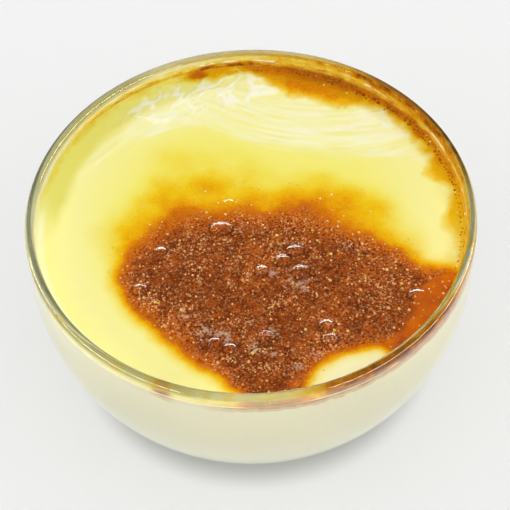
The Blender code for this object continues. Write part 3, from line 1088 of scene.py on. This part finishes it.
def bead_tree():
    """A round bead on each point with a size, shifted a little, each with a tone."""
    tree, start, end = geometry_tree("Beads on points", (
        ("Shift", "NodeSocketFloat", 0.0002),
        ("Flatness", "NodeSocketFloat", 0.8),
        ("Detail", "NodeSocketInt", 2),
        ("Seed", "NodeSocketInt", 0),
        ("Material", "NodeSocketMaterial", None),
    ))
    points = add_node(tree, "GeometryNodeMeshToPoints", {"Mesh": start["Geometry"]})
    away = add_node(tree, "FunctionNodeRandomValue", {
        0: (-1.0, -1.0, -1.0), "Seed": start["Seed"],
    }, data_type="FLOAT_VECTOR")
    shift = add_node(tree, "ShaderNodeVectorMath", {
        0: away.outputs[0], "Scale": start["Shift"],
    }, operation="SCALE")
    moved = add_node(tree, "GeometryNodeSetPosition", {
        "Geometry": points.outputs["Points"], "Offset": shift.outputs[0],
    })
    size = add_node(tree, "GeometryNodeInputNamedAttribute", {"Name": "size"}, data_type="FLOAT")
    beads = grains_on(tree, start, moved.outputs["Geometry"], size.outputs["Attribute"])
    return finish_tree(tree, start, end, beads)


# ---------------------------------------------------------------- operators

# Azimuth in degrees (0 right, 90 back) and how far the lip is browned there: partly a baked-on
# stain, partly painted refraction of the film behind it.
LIP_STAIN = (
    (-180, 0.035), (-151, 0.035), (-148, 0.3), (-145, 0.34), (-143, 0.05), (-131, 0.06),
    (-129, 0.3), (-127.5, 0.08), (-126.5, 0.42), (-124.5, 0.46), (-123, 0.06), (-118.5, 0.1),
    (-117, 0.33), (-113.5, 0.36), (-112, 0.08), (-109.5, 0.06), (-108.5, 0.36), (-107, 0.3),
    (-106, 0.05), (-102.5, 0.05), (-101.5, 0.42), (-100.5, 0.06), (-99, 0.36), (-98, 0.05),
    (-96, 0.34), (-94, 0.04), (-84, 0.04), (-78, 0.2), (-70, 0.62), (-50, 0.75), (-36, 0.75),
    (-27, 0.15), (-18, 0.06), (-14, 0.4), (-10, 0.15), (4, 0.2), (16, 0.7), (28, 1), (40, 0.95),
    (52, 0.85), (64, 0.4), (76, 0.12), (88, 0.05), (130, 0.08), (140, 0.18), (160, 0.1),
    (180, 0.035),
)

# Rows of the upright part, as depths in mm below the rim: close enough to carry the lip's brown.
UPRIGHT_ROWS = (6.0, 4.0, 3.0, 2.2, 1.6)

# The radius of the circle that the bowl's profile is swept along, and the weld on its axis.
SWEEP_RADIUS = 10.0 * MM
WELD_DISTANCE = 2e-6

# Depths below the rim: where the lip ends, and where its brown starts and over how much it grows.
LIP_DROP = 1.7 * MM
STAIN_DROP = 5.0 * MM
STAIN_RISE = 3.0 * MM

# The outer half of the lip starts at this radius, over this width.
OUTER_LIP = (57.9 * MM, 0.7 * MM)

# How much, then from and to azimuth with its fading in degrees: a faint brown along the front of
# the lip, partly stain and partly painted refraction, and the parts of it darkened by painted
# shade.
FRONT_STAIN = (0.065, -106.0, -58.0, 7.0)
DIM_PARTS = ((0.62, -156.0, -110.0, 10.0), (0.66, 126.0, 166.0, 8.0))

# The lip's inner half is clear in front of this azimuth, and behind the second one the film's
# colour is painted into the glass as painted refraction, by this share of its density.
CLEAR_BEFORE = -16.0
FILM_TINTS_FROM = -20.0
FILM_TINT = 0.12


def bowl_profile(bowl):
    """The bowl's outline as (r, z) points, from the middle inside over the lip to underneath."""
    inside = side_and_heel(bowl, bowl.wall, bowl.base_thick, bowl.inner_heel_arc, 28, 20)
    outside = side_and_heel(bowl, 0.0, 0.0, bowl.heel_arc, 32, 24)
    floor = [(inside[-1][0] * k / 6, bowl.base_thick) for k in range(6)]
    under = [(outside[-1][0] * k / 6, 0.0) for k in range(5, -1, -1)]
    rows = [BOWL_HEIGHT - depth * MM for depth in UPRIGHT_ROWS]
    up = [(RIM_RADIUS - bowl.wall, z) for z in rows]
    down = [(RIM_RADIUS, z) for z in reversed(rows)]
    return floor + inside[::-1] + up + lip_points(bowl, 32) + down + outside + under


def lip_tints(mesh, skin_level):
    """How brown (stain and painted refraction) and how dim (painted shade) each point of the glass
    is, 0 to 1.
    """
    places = np.empty(3 * len(mesh.vertices))
    mesh.vertices.foreach_get("co", places)
    x, y, z = places.reshape(-1, 3).T
    azimuth = np.degrees(np.arctan2(y, x))
    shifted = azimuth + 3.0 * layered_noise(x, y, 2.2 * MM, 63, 2)
    stain = look_up(LIP_STAIN, shifted)
    stain *= rising(z, BOWL_HEIGHT - STAIN_DROP, STAIN_RISE)
    # At the front the inner half of the lip stays clear, elsewhere it is paler.
    on_lip = z > BOWL_HEIGHT - LIP_DROP
    outer = rising(np.hypot(x, y), *OUTER_LIP) * on_lip
    stain *= np.where(azimuth < CLEAR_BEFORE, outer, 0.55 + 0.65 * outer)
    faint, *span = FRONT_STAIN
    stain = np.maximum(stain, faint * fade(azimuth, *span) * on_lip)
    # The film inside the wall is painted into the glass behind it, as painted refraction.
    film = FILM_TINT * film_at(azimuth, z - skin_level - FILM_FOOT)
    stain = np.maximum(stain, film * (z > skin_level) * (azimuth > FILM_TINTS_FROM))
    # Painted shade that darkens parts of the lip
    dim = sum(level * fade(azimuth, *span) for level, *span in DIM_PARTS)
    return {"stain": stain, "dim": dim * on_lip}


class PUDDING_OT_glass_bowl(bpy.types.Operator):
    """Turn the clear glass bowl from its profile"""

    bl_idname = "pudding.glass_bowl"
    bl_label = "Glass Bowl"

    def execute(self, context):
        bowl = context.scene.pudding_bowl
        profile = bowl_profile(bowl)
        mesh = bpy.data.meshes.new("profile")
        # The sweep lays the profile's X outward from the path and its Y down.
        mesh.from_pydata([(r - SWEEP_RADIUS, -z, 0.0) for r, z in profile],
                         [(i, i + 1) for i in range(len(profile) - 1)], [])
        obj = link_object("glass_bowl_clear", mesh)
        mesh_from_nodes(obj, turning_tree(), {
            "Steps": bowl.steps, "Path radius": SWEEP_RADIUS, "Weld distance": WELD_DISTANCE,
            "Material": glass_material(bowl),
        })
        edit_mesh(obj.data, lambda bm: bmesh.ops.recalc_face_normals(bm, faces=bm.faces[:]))
        store(obj.data, lip_tints(obj.data, context.scene.pudding_body.skin_level))
        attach(obj, "root")
        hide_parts("glass_bowl")
        return {"FINISHED"}


# Azimuth in degrees (0 right, 90 back) and how far the skin's edge is baked at the wall.
EDGE_BAKING = (
    (-180, 0.08), (-128, 0.08), (-118, 0.2), (-114, 0.9), (-110, 0.2), (-104, 0.25), (-97, 0.6),
    (-88, 0.9), (-60, 1), (-35, 1), (-22, 0.8), (-8, 0.55), (40, 0.75), (100, 0.75), (125, 0.3),
    (180, 0.08),
)

# How much closer together the rings of the skin's mesh lie towards the wall.
RING_CROWDING = 1.12

# The finer relief fades out this near to the wall. The whole skin undulates by this much, over
# this length, and the browned skin's roughness has this size.
RELIEF_FADES = 2.0 * MM
UNDULATION, UNDULATION_LENGTH = 0.05 * MM, 6.0 * MM
ROUGHNESS_SIZE = 1.5 * MM


def ringed_disc(edge, rings):
    """X and Y of a disc's points, and its faces: rings of triangles, ring k having 6 k points."""
    def on_ring(k, i):
        """Index of a point on ring k."""
        return 1 + 3 * k * (k - 1) + i % (6 * k) if k else 0

    x, y, faces = [0.0], [0.0], []
    for k in range(1, rings + 1):
        radius = edge * (1.0 - (1.0 - k / rings) ** RING_CROWDING)
        angle = 2 * math.pi * np.arange(6 * k) / (6 * k)
        x.extend(radius * np.cos(angle))
        y.extend(radius * np.sin(angle))
        for side in range(6):
            for j in range(k):
                a, b = on_ring(k, side * k + j), on_ring(k, side * k + j + 1)
                c = on_ring(k - 1, side * (k - 1) + j)
                faces.append((a, b, c))
                if j < k - 1:
                    faces.append((b, on_ring(k - 1, side * (k - 1) + j + 1), c))
    return np.array(x), np.array(y), faces


def hung_rings(loop, cos, sin, rows, count):
    """Points and faces of rings at (r, z) hung from a loop of points, closed below."""
    places, faces = [], []
    for r, z in rows:
        places.append(np.stack([r * cos, r * sin, np.full(len(loop), z)], 1))
        below = count + np.arange(len(loop))
        count += len(loop)
        for a, b, c, d in zip(loop, np.roll(loop, -1), np.roll(below, -1), below):
            faces.append((int(a), int(d), int(c), int(b)))
        loop = below
    places.append(np.array([[0.0, 0.0, rows[-1][1]]]))
    faces.extend((int(b), int(a), count) for a, b in zip(loop, np.roll(loop, -1)))
    return np.concatenate(places), faces


class PUDDING_OT_pudding(bpy.types.Operator):
    """Build the set pudding with its baked, wrinkled and blistered skin"""

    bl_idname = "pudding.pudding"
    bl_label = "Pudding"

    def execute(self, context):
        bowl, pudding = context.scene.pudding_bowl, context.scene.pudding_body
        wall = RIM_RADIUS - bowl.wall
        edge = wall + pudding.embed
        x, y, faces = ringed_disc(edge, pudding.rings)
        baked = browning(x, y)
        z = skin_height(x, y, pudding, wall)
        calm = clipped((wall - np.hypot(x, y)) / RELIEF_FADES)
        z += calm * UNDULATION * layered_noise(x, y, UNDULATION_LENGTH, 21)
        z += calm * baked * rough_patches(x, y) * layered_noise(x, y, ROUGHNESS_SIZE, 31)
        z += calm * fine_wrinkles(x, y)
        # The side follows the glass, just inside it, down from the last ring of the skin.
        first = len(x) - 6 * pudding.rings
        loop = np.arange(first, len(x))
        profile = side_and_heel(bowl, bowl.wall - pudding.embed, bowl.base_thick - pudding.embed,
                                bowl.inner_heel_arc + pudding.embed, 14, 8)
        top_z = pudding.skin_level + pudding.meniscus_rise
        start_z = profile[0][1]
        rows = [(edge, top_z + (start_z - top_z) * k / 4) for k in range(1, 4)] + profile
        below, side_faces = hung_rings(loop, x[loop] / edge, y[loop] / edge, rows, len(x))
        places = np.concatenate([np.stack([x, y, z], 1), below])
        mesh = smooth_mesh("pudding_baked", places, faces + side_faces)
        on_skin = {
            "baked": baked,
            # Painted sheen on the pale skin, none on the browned skin
            "tone": sheen_at(x, y) * clipped(1.0 - 3.0 * baked),
            "grain": grain_at(x, y, baked),
            "frost": frost_sheen_at(x, y) * baked,
            "shade": at_wall(x, y)[1],
            # Painted shade at the feet of the blisters
            "foot": blisters_at(x, y)[1],
        }
        rest = np.zeros(len(below))
        store(mesh, {name: np.concatenate([values, rest]) for name, values in on_skin.items()})
        turn = np.degrees(np.arctan2(places[:, 1], places[:, 0]))
        on_side = np.ones(len(places))
        on_side[:first] = 0.0
        store(mesh, {"side": on_side, "edge": on_side * look_up(EDGE_BAKING, turn)})
        mesh.materials.append(pudding_material(pudding, context.scene.pudding_brown))
        obj = link_object("pudding_baked", mesh)
        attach(obj, "root")
        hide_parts("pudding")
        return {"FINISHED"}


# How dense the film on the wall is: azimuth in degrees (0 right, 90 back), then the density at
# each of the heights below.
FILM_HEIGHTS = (0.0, 1.3 * MM, 2.6 * MM, 3.6 * MM, 4.7 * MM)
FILM = (
    (-180, 0.12, 0.05, 0, 0, 0), (-155, 0.18, 0.12, 0.05, 0, 0), (-126, 0.1, 0.1, 0, 0, 0),
    (-117, 0.2, 0.1, 0, 0, 0), (-114.8, 0.92, 0.4, 0, 0, 0), (-112.6, 0.92, 0.3, 0, 0, 0),
    (-110.6, 0.15, 0.05, 0, 0, 0), (-100, 0.3, 0.1, 0, 0, 0), (-90, 0.45, 0.15, 0, 0, 0),
    (-80, 0.6, 0.25, 0, 0, 0), (-74, 0.6, 0.5, 0.15, 0, 0), (-66, 0.85, 0.9, 0.5, 0.1, 0),
    (-48, 0.9, 0.95, 0.5, 0.12, 0), (-34, 0.85, 0.9, 0.5, 0.2, 0.1),
    (-22, 0.65, 0.6, 0.5, 0.45, 0.4), (-8, 0.5, 0.4, 0.35, 0.3, 0.3),
    (4, 0.4, 0.34, 0.22, 0.25, 0.45), (16, 0.4, 0.34, 0.22, 0.3, 0.55),
    (28, 0.42, 0.38, 0.22, 0.38, 0.6), (40, 0.46, 0.42, 0.28, 0.4, 0.6),
    (52, 0.42, 0.38, 0.24, 0.38, 0.55), (64, 0.42, 0.38, 0.26, 0.34, 0.4),
    (76, 0.44, 0.38, 0.28, 0.3, 0.28), (88, 0.6, 0.5, 0.3, 0.2, 0.14),
    (100, 0.6, 0.5, 0.18, 0.1, 0.08), (112, 0.5, 0.4, 0.2, 0.1, 0.06),
    (124, 0.52, 0.4, 0.08, 0.1, 0.06), (140, 0.42, 0.28, 0.1, 0.08, 0.06),
    (160, 0.14, 0.06, 0.03, 0.03, 0.04), (180, 0.12, 0.05, 0, 0, 0),
)

# The film's heights are measured from this far above the skin's level.
FILM_FOOT = 1.0 * MM

# The radius at which azimuths become lengths along the wall, for the film's noise.
FILM_RADIUS = 57.0 * MM

# The film's mesh runs from this far above the skin's level to this far below the rim.
FILM_ABOVE_SKIN = 0.7 * MM
FILM_BELOW_RIM = 0.12 * MM
FILM_COLUMNS, FILM_ROWS = 900, 26

# The film's thickness inside the wall where it is thinnest, and what is added where it is dense.
FILM_LEAST = 0.03 * MM
FILM_SWELL = 0.30 * MM

# The painted highlight streak along the wall: its height, how far that wanders, its half width,
# and from and to azimuth with its fading in degrees.
PALE_HEIGHT = 2.3 * MM
PALE_WANDER = 0.35 * MM
PALE_WIDTH = 0.60 * MM
PALE_SPAN = (-2.0, 104.0, 8.0)

# Where the film is denser by this share, as from and to azimuth with its fading in degrees.
DENSER_SPAN = (4.0, 100.0, 10.0)
DENSER = 0.3


def film_at(azimuth, height):
    """How dense the film is at azimuth (degrees) and height above its foot, 0 to 1."""
    angles, *levels = np.array(FILM).T
    around = np.radians(azimuth) * FILM_RADIUS
    moved = height + 0.45 * MM * layered_noise(around, height, 5.0 * MM, 61, 3)
    levels = [np.interp(azimuth, angles, level) for level in levels]
    dense = levels[0]
    for k in range(1, len(levels)):
        low, high = FILM_HEIGHTS[k - 1], FILM_HEIGHTS[k]
        dense = dense + (levels[k] - levels[k - 1]) * rising(moved, low, high - low)
    dense = dense * (1.0 + DENSER * fade(azimuth, *DENSER_SPAN))
    streaks = layered_noise(around * 0.30, height, 0.9 * MM, 67, 3)
    patchy = layered_noise(around, height, 2.6 * MM, 69, 4)
    return clipped(dense * (1.0 + 0.55 * streaks + 0.35 * patchy))


def painted_highlight_at(azimuth, height):
    """A painted highlight along the middle of the wall, laid as pale film in a broken streak, 0 to
    1.
    """
    around = np.radians(azimuth) * FILM_RADIUS
    middle = PALE_HEIGHT + PALE_WANDER * layered_noise(around, 0.0 * height, 9.0 * MM, 73, 2)
    broken = clipped(layered_noise(around * 0.40, height, 1.5 * MM, 75, 3) * 3.2 + 0.42)
    across = np.exp(-((height - middle) / PALE_WIDTH) ** 2)
    return 0.95 * broken * fade(azimuth, *PALE_SPAN) * across


class PUDDING_OT_wall_film(bpy.types.Operator):
    """Lay the browned film that has baked onto the inside of the wall"""

    bl_idname = "pudding.wall_film"
    bl_label = "Baked-on Film"

    def execute(self, context):
        bowl, pudding = context.scene.pudding_bowl, context.scene.pudding_body
        low, high = pudding.skin_level + FILM_ABOVE_SKIN, BOWL_HEIGHT - FILM_BELOW_RIM
        azimuth, z = np.meshgrid(-180.0 + 360.0 * np.arange(FILM_COLUMNS) / FILM_COLUMNS,
                                 low + (high - low) * np.linspace(0.0, 1.0, FILM_ROWS))
        height = z - pudding.skin_level - FILM_FOOT
        dense = film_at(azimuth, height)
        # One face reaches just into the wall, so that no air gap shows; the other is uneven.
        inner_lip = lip_points(bowl, 64)[:33]
        lip_r, lip_z = np.array(inner_lip).T
        wall = np.interp(z, lip_z, lip_r)
        turn = np.radians(azimuth)
        swell = clipped(0.5 + layered_noise(turn * FILM_RADIUS * 0.6, z, 1.3 * MM, 71, 3))
        inner = wall - FILM_LEAST - dense * FILM_SWELL * swell
        places = np.concatenate([
            np.stack([radius * np.cos(turn), radius * np.sin(turn), z], -1)
            for radius in (wall + pudding.embed, inner)
        ]).reshape(-1, 3)
        # Faces are left out where there is no film at any corner.
        keep = np.roll(dense, -1, 1) + dense
        faces = []
        for row in range(FILM_ROWS - 1):
            low_row, high_row = row * FILM_COLUMNS, (row + 1) * FILM_COLUMNS
            for column in range(FILM_COLUMNS):
                after = (column + 1) % FILM_COLUMNS
                if keep[row, column] + keep[row + 1, column] > 0.02:
                    face = (low_row + column, low_row + after, high_row + after, high_row + column)
                    faces.append(face)
                    faces.append(tuple(i + dense.size for i in reversed(face)))
        mesh = smooth_mesh("browned_film", places, faces)
        store(mesh, {
            "dense": np.tile(dense.ravel(), 2),
            "pale": np.tile(painted_highlight_at(azimuth, height).ravel(), 2),
        })
        edit_mesh(mesh, lambda bm: bmesh.ops.delete(
            bm, geom=[v for v in bm.verts if not v.link_faces], context="VERTS"
        ))
        mesh.materials.append(film_material(context.scene.pudding_brown))
        obj = link_object("browned_film", mesh)
        obj.visible_shadow = False
        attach(obj, "root")
        return {"FINISHED"}


# The area in m2 that the counts of specks are for: about that of the browned skin.
COUNTED_AREA = 0.0052

# Specks: name, colour, roughness, count, least and most radius in mm, seed, subdivisions, and
# the lowest and highest baking of the skin that they lie on.
SPECKS = (
    ("toasted_specks", (0.86, 0.46, 0.13), 0.14, 900, 0.15, 0.38, 3, 1, 0.62, 1.0),
    ("golden_specks", (0.92, 0.56, 0.14), 0.12, 90, 0.24, 0.48, 8, 2, 0.55, 1.0),
    ("pale_specks", (1.0, 0.80, 0.22), 0.30, 220, 0.18, 0.38, 14, 1, 0.12, 0.62),
)


class PUDDING_OT_specks(bpy.types.Operator):
    """Scatter toasted, golden and pale specks over the skin"""

    bl_idname = "pudding.specks"
    bl_label = "Specks"

    def execute(self, context):
        skin = bpy.data.objects["pudding_baked"]
        grain = scatter_tree()
        for name, rgb, roughness, count, least, most, seed, detail, low, high in SPECKS:
            obj = link_object(name, skin.data.copy())
            mesh_from_nodes(obj, grain, {
                "Count per m2": count / COUNTED_AREA, "Least radius": least * MM,
                "Most radius": most * MM, "Lowest baking": low, "Highest baking": high,
                "Detail": detail, "Seed": seed, "Material": speck_material(name, rgb, roughness),
            })
            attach(obj, "root")
        return {"FINISHED"}


# Azimuth in degrees, and the radius in mm of the largest bubble there, beside the wall.
WALL_BUBBLES = (
    (-60, 0), (-40, 0.16), (-25, 0.2), (-10, 0.24), (12, 0.3), (28, 0.46), (50, 0.6), (75, 0.45),
    (88, 0.26), (102, 0.18), (118, 0.12), (135, 0),
)

# Rings of those bubbles: distance from the wall in mm, size beside the largest, count, and the
# azimuth in degrees that the ring starts at.
BUBBLE_RINGS = ((1.15, 1.0, 165, -60.0), (0.35, 0.75, 210, -60.0), (2.0, 0.6, 120, 45.0))

# How far round the bubbles may lie, from and how much in degrees, how far they stray towards the
# middle, and the radius of the least bubble that is kept, in mm.
BUBBLE_SPAN = (-60.0, 195.0)
BUBBLE_STRAY = 0.35
LEAST_BUBBLE = 0.09


class PUDDING_OT_wall_bubbles(bpy.types.Operator):
    """Set browned bubbles along the line where the skin meets the wall"""

    bl_idname = "pudding.wall_bubbles"
    bl_label = "Bubbles at the Wall"

    def execute(self, context):
        bowl, pudding = context.scene.pudding_bowl, context.scene.pudding_body
        wall = RIM_RADIUS - bowl.wall
        rng = np.random.default_rng(12)
        start, span = BUBBLE_SPAN
        places, sizes = [], []
        for inward, share, count, first in BUBBLE_RINGS:
            azimuth = start + span * (np.arange(count) + 0.7 * rng.random(count)) / count
            turn = np.radians(azimuth)
            largest = look_up(WALL_BUBBLES, azimuth)
            size = largest * share * (0.55 + 0.45 * rng.random(count))
            size[azimuth < first] = 0.0
            size[rng.random(count) > 0.15 + 0.75 * share] = 0.0
            keep = size > LEAST_BUBBLE
            radius = wall - (inward + BUBBLE_STRAY * rng.random(count)) * MM
            x, y = (radius * np.cos(turn))[keep], (radius * np.sin(turn))[keep]
            places.append(np.stack([x, y, skin_height(x, y, pudding, wall)], 1))
            sizes.append(size[keep] * MM)
        mesh = smooth_mesh("wall_bubbles", np.concatenate(places), [])
        store(mesh, {"size": np.concatenate(sizes)})
        obj = link_object("wall_bubbles", mesh)
        mesh_from_nodes(obj, bead_tree(), {
            "Shift": 0.12 * MM, "Flatness": 0.8, "Detail": 2, "Seed": 4,
            "Material": speck_material("browned_bubble", (0.50, 0.16, 0.012), 0.08),
        })
        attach(obj, "root")
        return {"FINISHED"}


# Lights: azimuth and elevation from the bowl in degrees, 0 being the back, distance, size, power,
# and what its gloss shows on; a light without that is diffuse alone.
LIGHTS = (
    ("back_gloss", 0.0, 10.0, 1.2, (1.0, 0.20), 15.0, "without_glass"),
    ("left_glint", -106.0, 26.0, 1.4, (2.4, 0.30), 34.0, "glass_only"),
    ("right_glint", 106.0, 26.0, 1.4, (2.4, 0.30), 34.0, "glass_only"),
    ("left_panel", -112.0, 32.0, 1.4, (1.5, 1.0), 3.6, None),
    ("right_panel", 116.0, 32.0, 1.4, (1.5, 1.0), 4.6, None),
)
LIGHT_TARGET = Vector((0.0, 0.0, 0.05))

FLOOR_RADIUS = 3.0

# The camera looks at this point on the rim's plane.
CAMERA_TARGET = Vector((0.83 * MM, -14.64 * MM, BOWL_HEIGHT))


def studio_world(sky):
    """White light from all round, seen in what the glass mirrors inside but not in the gloss."""
    world = bpy.data.worlds.new("studio")
    world.use_nodes = True
    tree = world.node_tree
    path = add_node(tree, "ShaderNodeLightPath")
    outside = math_node(tree, "LESS_THAN", path.outputs["Transmission Depth"], 0.5)
    hidden = times(tree, path.outputs["Is Glossy Ray"], outside)
    background = tree.nodes["Background"]
    feed(tree, background.inputs["Color"], (1.0, 1.0, 1.0))
    feed(tree, background.inputs["Strength"], line(tree, hidden, -sky, sky, clamp=False))
    return world


def add_lights():
    """The lights: one gloss light shapes the skin and the bubbles, two glint in the glass."""
    shown = {name: bpy.data.collections.new(name) for name in ("glass_only", "without_glass")}
    for piece in bpy.data.objects:
        if piece.type == "MESH":
            is_glass = piece.name == "glass_bowl_clear"
            shown["glass_only" if is_glass else "without_glass"].objects.link(piece)
    for name, azimuth, elevation, distance, size, power, shows_on in LIGHTS:
        lamp = bpy.data.lights.new(name, "AREA")
        lamp.shape = "RECTANGLE"
        lamp.size, lamp.size_y = size
        lamp.energy = power
        obj = link_object(name, lamp)
        obj.visible_diffuse, obj.visible_glossy = shows_on is None, shows_on is not None
        obj.visible_transmission = False
        if shows_on:
            obj.light_linking.receiver_collection = shown[shows_on]
        a, e = math.radians(azimuth), math.radians(elevation)
        away = Vector((math.sin(a) * math.cos(e), math.cos(a) * math.cos(e), math.sin(e)))
        obj.location = LIGHT_TARGET + away * distance
        obj.rotation_mode = "QUATERNION"
        obj.rotation_quaternion = away.to_track_quat("Z", "Y")


def add_camera(scene, stage):
    """The camera, in front of the bowl and above it."""
    e = stage.elevation
    back = Vector((0.0, -math.cos(e), math.sin(e)))
    right = Vector((1.0, 0.0, 0.0))
    axes = Matrix((right, back.cross(right), back)).transposed().to_4x4()
    camera = link_object("camera", bpy.data.cameras.new("camera"))
    camera.data.lens = stage.lens
    camera.data.sensor_width = 36.0
    camera.data.clip_start, camera.data.clip_end = 0.02, 20.0
    place = Matrix.Translation(CAMERA_TARGET + back * stage.distance)
    camera.matrix_world = place @ axes @ Matrix.Rotation(-stage.roll, 4, "Z")
    scene.camera = camera


class PUDDING_OT_stage(bpy.types.Operator):
    """Set the pale floor, the soft studio lights and the camera"""

    bl_idname = "pudding.stage"
    bl_label = "Stage"

    def execute(self, context):
        scene = context.scene
        stage = scene.pudding_stage
        mesh = bpy.data.meshes.new("floor")
        edit_mesh(mesh, lambda bm: bmesh.ops.create_circle(
            bm, cap_ends=True, segments=96, radius=FLOOR_RADIUS
        ))
        mesh.materials.append(floor_material(stage.floor, stage.glow))
        floor = link_object("floor", mesh)
        scene.world = studio_world(stage.sky)
        add_lights()
        add_camera(scene, stage)
        scene.view_settings.view_transform = "Standard"
        return {"FINISHED"}


OPERATORS = (
    PUDDING_OT_glass_bowl,
    PUDDING_OT_pudding,
    PUDDING_OT_wall_film,
    PUDDING_OT_specks,
    PUDDING_OT_wall_bubbles,
    PUDDING_OT_stage,
)


class PUDDING_PT_panel(bpy.types.Panel):
    """Lists the operators that build the pieces"""

    bl_idname = "PUDDING_PT_panel"
    bl_label = "Baked Rice Pudding"
    bl_space_type = "VIEW_3D"
    bl_region_type = "UI"
    bl_category = "Pudding"

    def draw(self, context):
        for operator in OPERATORS:
            self.layout.operator(operator.bl_idname)


SETTINGS = (
    ("pudding_bowl", BowlSettings),
    ("pudding_body", PuddingSettings),
    ("pudding_brown", BrownSettings),
    ("pudding_stage", StageSettings),
)


def register():
    """Registers the settings, the operators and the panel."""
    for name, group in SETTINGS:
        bpy.utils.register_class(group)
        setattr(bpy.types.Scene, name, PointerProperty(type=group))
    for operator in OPERATORS:
        bpy.utils.register_class(operator)
    bpy.utils.register_class(PUDDING_PT_panel)


def unregister():
    """Undoes register."""
    bpy.utils.unregister_class(PUDDING_PT_panel)
    for operator in reversed(OPERATORS):
        bpy.utils.unregister_class(operator)
    for name, group in reversed(SETTINGS):
        delattr(bpy.types.Scene, name)
        bpy.utils.unregister_class(group)


def main():
    """Builds every piece in order."""
    register()
    for operator in OPERATORS:
        group, action = operator.bl_idname.split(".")
        getattr(getattr(bpy.ops, group), action)()


if __name__ == "__main__":
    main()
